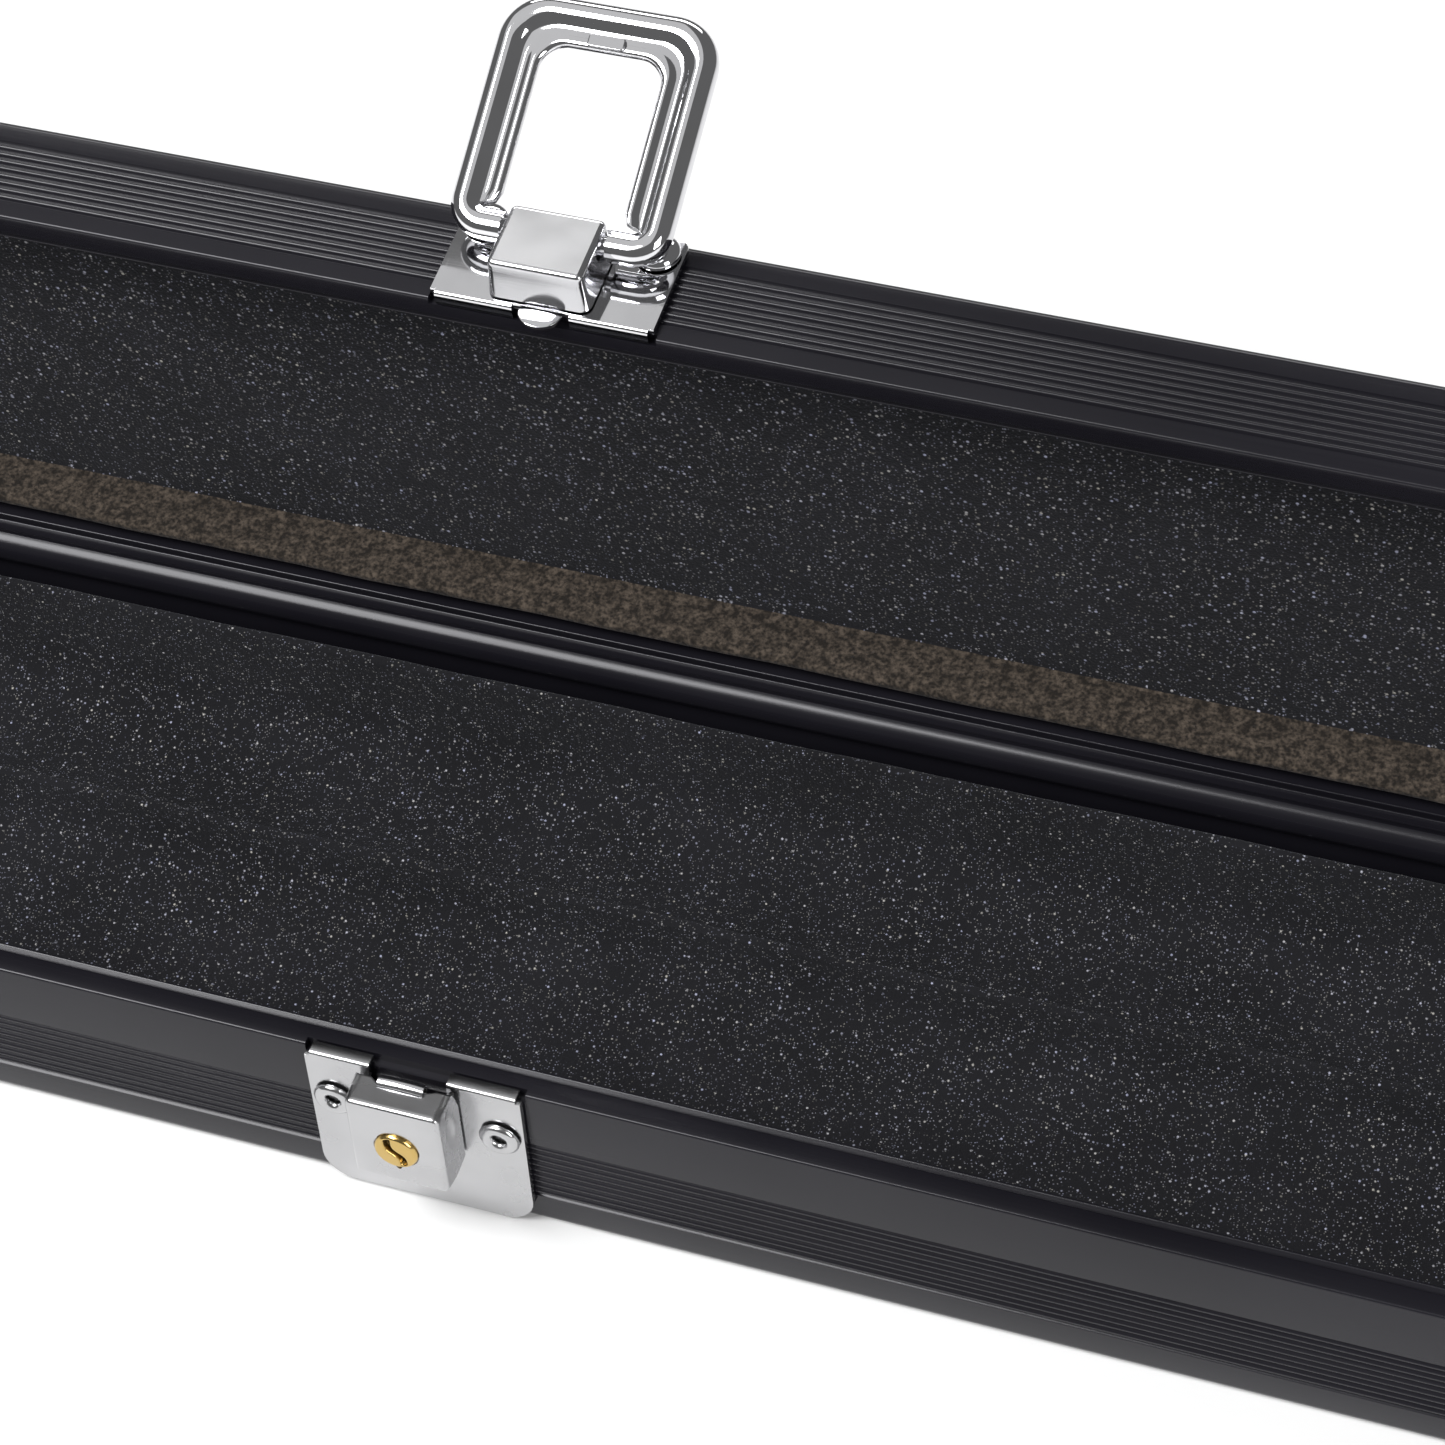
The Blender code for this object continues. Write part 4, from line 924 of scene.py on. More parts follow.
@dataclass
class Linings:
    """The foam in the base and in the lid."""

    finishes: Finishes
    standoff: float = 1.4 * MM
    side: float = 1.7 * MM
    floor: float = 2.2 * MM
    sheet: float = 2.5 * MM
    ridge_y: float = 4.0 * MM
    ridge_z: float = 13.5 * MM
    crest: float = 1.6 * MM
    crest_rise: float = 0.35 * MM
    soft: float = 0.8 * MM
    station: float = 3.0 * MM
    swell: float = 0.05 * MM
    shrink: float = 0.12 * MM
    end_fade: float = 4.0 * MM

    def trough(self, low: float, high: float) -> Array:
        """A hollow's section: half an ellipse, squared a little at its floor."""
        turn = np.linspace(0, math.pi, 27)
        middle, reach = (low + high) / 2, (high - low) / 2
        floor = CASE.wall + CASE.gap + self.floor
        up = self.ridge_z - (self.ridge_z - floor) * np.sin(turn) ** 0.7
        return bare(np.stack([middle - reach * np.cos(turn), up], -1))

    def carried(self, section: Array, place: Place, finish: Material,
                marks: Optional[Array] = None) -> None:
        """Carry a section along the case and let its surface rise and fall a little.

        The swell at a point is a sum of three slow waves along the case, each out of step
        with the section, and it fades at the ends.

        Args:
            section: Rows of y and z.
            place: The body, and how the lining comes to rest.
            finish: Its material.
            marks: How far each row belongs to the band of painted cue reflection, 0 to 1.
        """
        node = place.body + "_foam"
        low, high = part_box(node)
        along = np.linspace(low.x, high.x, int((high.x - low.x) / self.station))[:, None]
        round_it = np.arange(len(section))[None] / len(section) * 2 * math.pi
        swell = (np.sin(along * 71 + 2 * round_it) + np.sin(along * 173 - round_it)
                 + 0.6 * np.sin(along * 397 + 3 * round_it)) * self.swell
        fade = np.minimum(1, np.minimum(along - low.x, high.x - along) / self.end_fade)
        points = strung(along[:, 0], section)
        points[..., 1:] += outward(section)[None] * (swell * fade - self.shrink)[..., None]
        mesh = tube(points)
        if marks is not None:
            mesh.marks = np.tile(marks, len(along))
        piece = make_piece(place.body + "_lining", mesh, finish, place, node,
                           60.0)

    def build(self) -> None:
        """Both linings."""
        outer = CASE.inner - self.standoff
        inner = outer - self.side
        low = CASE.wall + CASE.gap
        top = CASE.base_height - CASE.rim_depth - CASE.gap
        rear_top = CASE.hinge[2] - Shell.socket_outer - CASE.gap
        half, soft = self.crest / 2, self.soft
        corners = np.vstack([
            [(-outer, low, 0.3 * MM), (-outer, top, soft), (-inner, top, soft)],
            self.trough(-inner, self.ridge_y - half),
            [(self.ridge_y, self.ridge_z + self.crest_rise, 0.0)],
            self.trough(self.ridge_y + half, inner),
            [(inner, rear_top, soft), (outer, rear_top, soft), (outer, low, 0.3 * MM)]])
        self.carried(rounded(corners, 6)[::-1], BASE, self.finishes.fine_lining)

        high = CASE.lid_top - CASE.wall - CASE.gap
        face = high - self.sheet
        foot = CASE.lid_rim + CASE.rim_depth + CASE.gap
        rear_foot = CASE.hinge[2] + Shell.socket_outer + 2 * CASE.gap
        sheet = [(y, face, 0.0) for y in np.linspace(inner, -inner, 40)[1:-1]]
        # Rows up the rear wall, where the painted cue reflection lies.
        reflection_band = [(inner, z, 0.0) for z in np.linspace(rear_foot, face, 12)[1:-1]]
        section = rounded(
            [(-outer, foot, soft), (-outer, high, 0.4 * MM), (outer, high, 0.4 * MM),
             (outer, rear_foot, 0.7 * MM), (inner, rear_foot, 0.7 * MM)] + reflection_band
            + [(inner, face, 0.5 * MM)] + sheet
            + [(-inner, face, 0.6 * MM), (-inner, foot, 0.7 * MM)], 6)
        # The rear wall's rows carry the brown band of painted cue reflection.
        in_reflection_band = (section[:, 0] > inner - 0.3 * MM) & (section[:, 1] < face - 0.2 * MM)
        self.carried(section, LID, self.finishes.lining, in_reflection_band.astype(float))


# --- latches -----------------------------------------------------------------------------------

@dataclass
class PlatePair:
    """The two folded latch plates, one on each rim."""

    half_width: float = 13.3 * MM
    fold: float = 0.55 * MM
    flange: float = 0.7 * MM
    flange_inset: float = 0.6 * MM

    def sheet(self, node: str, rim: float, sense: float, height: float, corner: float,
              gap: tuple, notch: float, place: Place, finish: Material) -> None:
        """A plate that runs along a wall and folds over its rim in two flanges.

        The sheet is a grid of stations across it and of steps along its path: straight along
        the wall, a quarter turn of the fold's radius, and a short run inwards.  The faces of
        the gap between the flanges are left out, and the far corners follow a quarter circle.

        Args:
            node: The node it stands for.
            rim: The height of the rim that it folds over.
            sense: 1 where the plate hangs below the rim, -1 where it stands above it.
            height: How far it runs from the rim.
            corner: The radius of its two far corners.
            gap: Where the gap between the flanges starts and ends, from the centre.
            notch: How far the gap is cut down into the plate.
            place: The body, and how it comes to rest.
            finish: Its material.
        """
        half, notched = self.half_width, notch > self.fold
        bow = half - corner + corner * np.sin(np.linspace(0, QUARTER, 9))
        spots = np.concatenate([-bow[::-1], np.linspace(-half + corner, half - corner, 15)[1:-1],
                                bow, [*gap, -half + self.flange_inset,
                                      half - self.flange_inset]])
        across = np.unique(np.round(spots, 7))
        over = np.clip(np.abs(across) - (half - corner), 0, corner)
        short = corner - np.sqrt(np.maximum(corner ** 2 - over ** 2, 0))
        straight = np.array([1.0, 0.85, 0.7, 0.55, 0.4, 0.28])[None]
        run = straight * (height - short[:, None] - notch - self.fold) + notch + self.fold
        steps = np.linspace(notch, 0, 4) if notched else np.array([notch, 0.0])
        turn = np.linspace(0, QUARTER, 7)[1:]
        down = np.concatenate([np.maximum(steps, self.fold), self.fold * (1 - np.sin(turn)),
                               [0.0]])
        back = np.concatenate([np.zeros(len(steps)), self.fold * (1 - np.cos(turn)),
                               [CASE.front + self.flange - CASE.plate_front]])
        down, back = (np.tile(part, (len(across), 1)) for part in (down, back))
        down, back = np.hstack([run, down]), np.hstack([np.zeros_like(run), back])
        points = np.zeros((*back.shape, 3))
        points[..., 0] = middle_of(node)[0] + across[:, None]
        points[..., 1] = CASE.plate_front + back
        points[..., 2] = rim - sense * down
        faces = grid_faces(*back.shape)
        row, column = np.divmod(faces[:, 0], back.shape[1])
        middle = (across[row] + across[np.minimum(row + 1, len(across) - 1)]) / 2
        in_gap = (middle > gap[0]) & (middle < gap[1])
        off_flange = np.abs(middle) > half - self.flange_inset
        folds_from = run.shape[1] + len(steps) - 1
        dropped = ((in_gap & (column >= (run.shape[1] if notched else folds_from)))
                   | (off_flange & (column >= folds_from)))
        mesh = Mesh(points.reshape(-1, 3), [tuple(face) for face in faces[~dropped].tolist()],
                    np.zeros(points.size // 3))
        name = node.replace("_plate_", "_plate_pressing_")
        self.thicken(make_piece(name, mesh, finish, place, node), place)

    @staticmethod
    def thicken(piece: Piece, place: Place, thickness: float = CASE.plate - 0.02 * MM) -> None:
        """Give a sheet its thickness behind its outer face, and soften its edges.

        Args:
            piece: The sheet.
            place: How it came to rest.
            thickness: How thick it becomes.
        """
        shape = bmesh.new()
        shape.from_mesh(piece.data)
        biggest = max(shape.faces, key=bmesh.types.BMFace.calc_area)
        origin, front = place.carry(np.array([[0.0, 0.0, 0.0], [0.0, -1.0, 0.0]]))
        if biggest.normal.dot(Vector(front - origin)) < 0:
            bmesh.ops.reverse_faces(shape, faces=shape.faces)
        shape.to_mesh(piece.data)
        shape.free()
        wall = piece.modifiers.new("thickness", "SOLIDIFY")
        wall.thickness = thickness
        wall.offset = -1.0
        wall.use_even_offset = True
        edge = piece.modifiers.new("edge", "BEVEL")
        edge.width = 0.13 * MM
        edge.segments = 2
        edge.limit_method = "ANGLE"
        edge.angle_limit = math.radians(50.0)


@dataclass
class Rivets:
    """Every rivet head, turned from its own profile."""

    finishes: Finishes
    shank: float = 0.9 * MM
    tail: float = 1.35 * MM
    tail_height: float = 0.7 * MM
    chamfer: float = 0.15 * MM
    dome_radius: float = 2.65 * MM
    dome_foot: float = 0.12
    dome_rise: float = 1.28
    ring: tuple = (1.62 * MM, -0.05 * MM)
    ring_radius: float = 0.78 * MM
    ring_flat: float = 0.86
    skirt: float = 2.5 * MM
    skirt_height: float = 0.10 * MM
    bore: tuple = ((0.0, -1.0 * MM), (0.70 * MM, -1.0 * MM), (0.80 * MM, -0.1 * MM))

    def stem(self, seat: float) -> list:
        """The shank and the flattened tail below a head that seats at a depth."""
        tail = -(CASE.front + CASE.wall + CASE.gap - seat)
        end = tail - self.tail_height
        return [(self.shank, 0.0), (self.shank, tail), (self.tail, tail),
                (self.tail, end + self.chamfer), (self.tail - self.chamfer, end), (0.0, end)]

    def dome(self, node: str, x: float, z: float) -> None:
        """A polished dome on the hasp's plate: an ellipse's quarter over a short foot."""
        turn = np.linspace(QUARTER, 0, 12)
        head = np.stack([self.dome_radius * np.cos(turn),
                         (self.dome_foot + self.dome_rise * np.sin(turn)) * MM], -1)
        profile = np.vstack([head, [(self.dome_radius, 0.0)], self.stem(CASE.seat)])
        make_piece(node + "_dome", turned(profile, (x, CASE.seat, z)), self.finishes.mirror,
                   LID, node)

    def collar(self, node: str, seat: float) -> None:
        """A tubular rivet: a rolled ring with a hollow middle."""
        x, z = middle_of(node)
        ring = arc(self.ring, self.ring_radius, 160, 0, 12)
        ring[:, 1] = np.maximum(ring[:, 1], 0.0) * self.ring_flat
        profile = np.vstack([self.bore, ring, [(self.skirt, self.skirt_height),
                                               (self.skirt, 0.0)], self.stem(seat)])
        mesh = turned(profile, (x, seat, z))
        # Marks the bore, where the plating is painted near black as the shade inside the hollow.
        mesh.marks[:len(self.bore) * len(mesh.marks) // len(profile)] = 1.0
        make_piece(node + "_head", mesh, self.finishes.satin, BASE, node)


@dataclass
class Hasp:
    """The half of a latch on the lid: plate, block, loop and two domed rivets."""

    finishes: Finishes
    side: Side
    offset: float = -0.5 * MM
    plate_height: float = 13.7 * MM
    plate_corner: float = 1.0 * MM
    gap_half: float = 3.4 * MM
    rivet_spread: float = 10.3 * MM
    rivet_rise: float = 11.2 * MM
    tongue: float = 2.6 * MM
    tongue_rise: float = 0.25 * MM
    tongue_bend: float = 0.20 * MM
    tongue_sheet: float = 0.6 * MM
    block_half: float = 6.15 * MM
    block_low: float = 0.8 * MM
    block_length: float = 10.0 * MM
    block_height: float = 5.2 * MM
    block_corner: float = 1.3 * MM
    block_edge: float = 0.65 * MM
    block_spread: float = 0.45 * MM
    loop_half: float = 13.2 * MM
    loop_reach: float = 28.0 * MM
    wire: float = 1.8 * MM
    loop_corner: float = 4.2 * MM
    loop_curl: float = 2.6 * MM
    web: float = 4.15 * MM
    window_corner: float = 3.0 * MM
    tab_half: float = 2.2 * MM
    tab_reach: tuple = (2.3 * MM, 3.9 * MM)
    tab_depth: tuple = (0.70 * MM, 1.60 * MM)
    pin_radius: float = 1.1 * MM
    pin_ends: tuple = (-1.6 * MM, 0.6 * MM)
    lip: tuple = ((1.30, 1.14), (1.75, 0.86), (2.30, 0.84), (2.85, 1.02), (3.30, 1.20),
                  (3.70, 1.20), (4.00, 0.98), (4.15, 0.62), (4.08, 0.26), (3.80, 0.02),
                  (3.40, -0.06), (2.70, -0.10), (2.10, -0.36))

    def build(self) -> None:
        """All its pieces."""
        word, centre = self.side.word, latch_x(self.side)
        PlatePair().sheet("hasp_plate_" + word, CASE.lid_rim, -1, self.plate_height,
                          self.plate_corner, (-self.gap_half, self.gap_half), 0.0, LID,
                          self.finishes.mirror)
        self.build_tongue(centre)
        self.build_block(centre + self.offset)
        self.build_loop(centre + self.offset)
        for ordinal, sign in (("a", -1), ("b", 1)):
            Rivets(self.finishes).dome("hasp_rivet_%s_%s" % (word, ordinal),
                                       centre + sign * self.rivet_spread,
                                       CASE.lid_rim + self.rivet_rise)

    def build_tongue(self, centre: float) -> None:
        """The half-round tongue between the flanges, bent in a little at its edge."""
        share = np.linspace(0, 1, 14)[:, None]
        turn = np.linspace(math.pi, ROUND, 25)[None]
        reach = self.tongue * share
        points = np.zeros((14, 25, 3))
        points[..., 0] = centre + reach * np.cos(turn)
        points[..., 2] = CASE.lid_rim + self.tongue_rise + 0.85 * reach * np.sin(turn)
        points[..., 1] = CASE.plate_front + self.tongue_bend * share ** 3
        piece = make_piece("hasp_tongue_" + self.side.word, grid_mesh(points, wrap=False),
                           self.finishes.mirror, LID, None)
        PlatePair.thicken(piece, LID, self.tongue_sheet)

    def build_block(self, centre: float) -> None:
        """The raised block: a flat top with rolled edges over sides that spread a little."""
        low, half = CASE.lid_rim + self.block_low, self.block_half
        loop = panel((-half, low), (half, low + self.block_length), [self.block_corner] * 2, 8)
        inset, out = rolled(self.block_edge, 6)
        skirt = np.linspace(0, 1, 6)[1:]
        inset = np.concatenate([inset + self.block_spread,
                                self.block_spread * (1 - skirt ** 1.3)])
        out = np.concatenate([out, self.block_edge
                              + skirt * (self.block_height - self.block_edge)])
        rings = drawn_in(loop + np.array([centre, 0.0]), inset)
        mesh = tube(laid(rings, CASE.seat - self.block_height + out, Plane.XZ))
        piece = make_piece("hasp_block_pressing_" + self.side.word, mesh, self.finishes.spring,
                           LID, "hasp_block_" + self.side.word, 50.0)
        piece.data.materials.append(self.finishes.matt)
        heights = [len(face.vertices) * MM + face.center.z for face in piece.data.polygons]
        piece.data.polygons[int(np.argmax(heights))].material_index = 1

    def loop_path(self, inset: float = 0.0) -> Array:
        """A line along the loop as it hangs from its pivot, from one shoulder to the other.

        Args:
            inset: How far inside the bead's middle the line runs.

        Returns:
            Rows of x and z, from the pivot; every inset has the same number of rows.
        """
        leg = self.loop_half - self.wire - inset
        bar = self.wire - self.loop_reach + inset
        corner = self.window_corner if inset else self.loop_corner
        curl = self.loop_curl
        down = np.linspace(-curl, bar + corner, 14)[1:-1]
        inwards = np.linspace(leg - corner, 0, 9)[1:]
        return mirrored(np.vstack([
            [(self.block_half + 0.15 * MM, 0.0)], arc((leg - curl, -curl), curl, 90, 0, 12),
            np.stack([np.full(12, leg), down], -1),
            arc((leg - corner, bar + corner), corner, 0, -90, 14),
            np.stack([inwards, np.full(8, bar)], -1)]))

    def build_loop(self, centre: float) -> None:
        """The loop: a bead round a dished web with a rolled inner edge, and the catch tab.

        One section is carried along the bead's line.  Its points outside the bead's middle
        lie along the line's normal; those inside lie along the way to a second line, the
        window's edge, so that the web is wide on the legs and dies away at the shoulders.
        """
        word = self.side.word
        swing = joint("hasp_loop_%s_hinge" % word)
        path, window = self.loop_path(), self.loop_path(self.web)
        along = headings(path)
        inward = np.stack([along[:, 1], -along[:, 0]], -1)
        inward *= np.sign(np.sum(inward * (np.array([0.0, -self.loop_reach / 2]) - path), 1,
                                 keepdims=True))
        share = np.clip((-path[:, 1:] / self.loop_reach - 0.03) / 0.09, 0, 1)
        share = share * share * (3 - 2 * share)
        web_way = (1 - share) * inward + share * (window - path) / self.web
        bead = arc((0, 0), self.wire, -28, -298, 30)
        section = np.vstack([bead, np.array(self.lip) * MM])
        across = section[None, :, 0]
        beyond = np.clip(across - bead[0, 0], 0, None)
        across = (across - beyond * (1 - np.maximum(share, 0.03)))[..., None]
        points = np.zeros((*across.shape[:2], 3))
        points[..., [0, 2]] = path[:, None] + np.where(
            across > 0, across * web_way[:, None], across * inward[:, None])
        points[..., 1] = section[:, 1]
        mesh = tube(points).plus(self.catch_tab())
        for sign in (-1, 1):
            mesh = mesh.plus(self.pin(sign))
        mesh.points[:, 0] += centre
        place = Place("hasp_loop_" + word, rest=(0.0, *swing["pos_m"][1:]),
                      turn=-CASE.opened - math.radians(swing["range_deg"][1]))
        make_piece("hasp_loop_bead_" + word, mesh, self.finishes.mirror, place,
                   "hasp_loop_" + word, 40.0)

    def catch_tab(self) -> Mesh:
        """The tab in the middle of the bar that the lever holds."""
        near, far = (self.wire - self.loop_reach + reach for reach in self.tab_reach)
        outline = panel((-self.tab_half, near), (self.tab_half, far), [0.4 * MM] * 2, 4)
        return pillow(outline, *self.tab_depth, 0.15 * MM, Plane.XZ)

    def pin(self, sign: int) -> Mesh:
        """One of the pins that the loop turns on, as a closed bar along X."""
        turn = circle(24)
        loop = self.pin_radius * np.stack([np.cos(turn), np.sin(turn)], -1)
        return tube(laid(loop, sign * (self.block_half + np.array(self.pin_ends)), Plane.YZ))


@dataclass
class Lock:
    """The half of a latch on the base: plate, lever, spring, key and two hollow rivets."""

    finishes: Finishes
    side: Side
    offset: float = -0.5 * MM
    plate_height: float = 23.0 * MM
    plate_corner: float = 4.0 * MM
    gap_half: float = 4.8 * MM
    notch: float = 3.4 * MM
    half: float = 5.8 * MM
    height: float = 4.9 * MM
    top_drop: float = 0.2 * MM
    bottom_drop: float = 13.6 * MM
    back_drop: float = 12.2 * MM
    rim: float = 1.0 * MM
    heel_drop: float = 2.9 * MM
    heel_relief: float = 0.75 * MM
    wave_half: float = 4.2 * MM
    wave_depth: float = 1.45 * MM
    corners: tuple = (0.7 * MM, 0.8 * MM)
    edge: float = 0.6 * MM
    side_spread: float = 0.35 * MM
    dimple: float = 0.35 * MM
    dimple_depth: float = 2.4 * MM
    dimple_rise: float = 8.6 * MM
    dimple_size: tuple = (0.9 * MM, 2.2 * MM)
    key_drop: float = 7.4 * MM
    key_radius: float = 2.7 * MM
    key_gap: float = 0.12 * MM
    keyway: float = 0.75 * MM
    key_proud: float = 0.6 * MM
    key_length: float = 4.0 * MM
    slot_half: float = 0.42 * MM
    slot_reach: float = 2.2 * MM
    slot_wave: float = 0.32 * MM
    slot_depth: float = 0.9 * MM
    slot_lean: float = math.radians(-62.0)
    leaf: float = 0.3 * MM
    leaf_foot: float = 2.4 * MM
    leaf_lift: float = 0.15 * MM
    sheet: float = 0.7 * MM

    def below(self, drop: float) -> float:
        """The height that lies a distance below the base's rim."""
        return CASE.base_height - drop

    def build(self) -> None:
        """All its pieces."""
        word = self.side.word
        centre = latch_x(self.side) + self.offset
        PlatePair().sheet("lock_plate_" + word, CASE.base_height, 1, self.plate_height,
                          self.plate_corner, (self.offset - self.gap_half,
                                              self.offset + self.gap_half),
                          self.notch, BASE, self.finishes.satin)
        self.build_lever(centre)
        self.build_spring(centre)
        self.build_key(centre)
        for ordinal in "ab":
            Rivets(self.finishes).collar("lock_rivet_%s_%s" % (word, ordinal), CASE.seat)
        for node in ("lock_bracket_", "lever_pin_", "lock_cam_"):
            dress(node + word, self.finishes.zinc)

    def skirt_end(self, across: Array, up: Array) -> Array:
        """How far back the lever's skirt runs at each point of its outline.

        The sides run to the plate, slanting forward below the back corner; the top stops
        short with a waved edge; and the bottom has only its rolled rim.

        Args:
            across: Distances from the lever's middle.
            up: Heights.

        Returns:
            The depths, as y.
        """
        face, top = CASE.seat - self.height, self.below(self.top_drop)
        bottom, back = self.below(self.bottom_drop), self.below(self.back_drop)
        slope = np.clip((up - bottom) / (back - bottom), 0, 1)
        side = face + self.rim + (CASE.seat - face - self.rim) * slope
        heel = self.below(self.heel_drop)
        side -= self.heel_relief * np.clip((up - heel) / (top - heel), 0, 1)
        bend = np.clip(1 - (across / self.wave_half) ** 2, 0, 1) ** 0.8
        wave = CASE.seat - 0.5 * MM - self.wave_depth * bend + 0.2 * MM * np.sin(across * 900)
        on_top = np.clip((up - (top - 0.6 * MM)) / (0.5 * MM), 0, 1)
        return side * (1 - on_top) + np.minimum(wave, side) * on_top

    def build_lever(self, centre: float) -> None:
        """The lever: a drawn cover with a round key hole and a dimple in each side."""
        bottom, face = self.below(self.bottom_drop), CASE.seat - self.height
        loop = respaced(panel((-self.half, bottom), (self.half, self.below(self.top_drop)),
                              self.corners, 8), 240)
        inset, run = rolled(self.edge, 6)
        depth = face + run
        share = np.linspace(0, 1, 15)[1:, None]
        end = self.skirt_end(loop[:, 0], loop[:, 1])[None]
        skirt = depth[-1] + share * (end - depth[-1])
        sides = np.abs(loop[:, 0]) > self.half - 0.3 * MM
        spread = -self.side_spread * np.clip((skirt - face) / self.height, 0, 1) * sides
        back, up = CASE.seat - self.dimple_depth, bottom + self.dimple_rise
        away = (((skirt - back) / self.dimple_size[0]) ** 2
                + ((loop[None, :, 1] - up) / self.dimple_size[1]) ** 2)
        dimple = self.dimple * np.exp(-away ** 2) * sides
        wide = np.ones((1, len(loop)))
        rings = drawn_in(loop, np.vstack([inset[:, None] * wide, spread + dimple]))
        hole = self.key_hole(rings[0])
        rings = np.concatenate([hole, rings])
        depths = np.vstack([np.full((len(hole), len(loop)), face), depth[:, None] * wide, skirt])
        rings[..., 0] += centre
        word = self.side.word
        piece = make_piece("lock_lever_cover_" + word,
                           grid_mesh(laid(rings, depths, Plane.XZ)), self.finishes.satin,
                           Place("lock_lever_" + word), "lock_lever_" + word, 50.0)
        PlatePair.thicken(piece, BASE, self.sheet)

    def key_hole(self, ring: Array) -> Array:
        """Rings from the key hole's edge, with its small keyway, out to the face's edge.

        Args:
            ring: The flat face's outer ring.

        Returns:
            Four rings, the hole's edge first.
        """
        key = np.array([0.0, self.below(self.key_drop)])
        angle = np.arctan2(ring[:, 1] - key[1], ring[:, 0] - key[0])
        below = (angle + QUARTER + math.pi) % ROUND - math.pi
        radius = self.key_radius + self.key_gap + self.keyway * np.exp(-(below / 0.13) ** 2)
        edge = key + radius[:, None] * np.stack([np.cos(angle), np.sin(angle)], -1)
        share = np.array([0.0, 0.06, 0.3, 0.65])[:, None, None]
        return edge[None] + share * (ring - edge)[None]

    def build_spring(self, centre: float) -> None:
        """The leaf spring's polished crown, which shows in the waved edge."""
        word = self.side.word
        low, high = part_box("lever_spring_" + word)
        middle, outer = (low.y + high.y) / 2, (high.y - low.y) / 2
        inner, crown, foot = outer - self.leaf, high.z - outer, low.z + self.leaf_foot
        section = np.vstack([[(middle - outer, foot)],
                             arc((middle, crown), outer, 180, 0, 18),
                             [(middle + outer, low.z), (middle + inner, low.z)],
                             arc((middle, crown), inner, 0, 180, 18),
                             [(middle - inner, foot)]])
        across = np.linspace(low.x, high.x, 15)
        points = laid(section, across, Plane.YZ)
        bow = 1 - ((across - centre) / ((high.x - low.x) / 2)) ** 2
        points[..., 2] += (self.leaf_lift * bow[:, None]
                           * np.clip((section[:, 1] - foot) / (crown - foot), 0, 1))
        make_piece("lever_spring_leaf_" + word, tube(points), self.finishes.spring,
                   Place("lock_lever_" + word), "lever_spring_" + word, 50.0)

    def build_key(self, centre: float) -> None:
        """The key cylinder: a domed brass face with a waved slot sunk in it.

        The face is a polar grid.  Its height falls in a bevel at the rim, and by the slot's
        depth where a point is nearer to the slot's sine-shaped line than half its width.
        """
        word, radius = self.side.word, self.key_radius
        face = CASE.seat - self.height - self.key_proud
        rings = np.concatenate([np.linspace(0, 0.86, 40), np.linspace(0.89, 1.0, 6)]) * radius
        angles, reach = circle(120), rings[:, None]
        across, up = reach * np.cos(angles), reach * np.sin(angles)
        cosine, sine = math.cos(self.slot_lean), math.sin(self.slot_lean)
        along, off = across * cosine + up * sine, -across * sine + up * cosine
        off = off - self.slot_wave * np.sin(along / (0.62 * MM))
        slot = within(np.abs(off), self.slot_half, 0.045 * MM)
        slot *= within(np.abs(along), self.slot_reach, 0.06 * MM)
        rim = np.clip((reach / radius - 0.86) / 0.14, 0, 1) ** 2 * 0.35 * MM
        dome = 0.12 * MM * (reach / radius) ** 2
        points = np.zeros((len(rings) + 1, len(angles), 3))
        points[:-1, :, 0], points[:-1, :, 2] = across, up
        points[:-1, :, 1] = face + rim + dome + self.slot_depth * slot
        points[-1] = points[-2]
        points[-1, :, 1] = face - self.key_proud + self.key_length
        mesh = grid_mesh(points + np.array([centre, 0.0, self.below(self.key_drop)]))
        # Marks the slot, where the brass is painted near black as the shade inside it.
        mesh.marks[:slot.size] = slot.ravel()
        make_piece("key_cylinder_face_" + word, mesh.closed(len(angles)), self.finishes.brass,
                   Place("key_" + word), "key_cylinder_" + word, 55.0)


# --- ends --------------------------------------------------------------------------------------

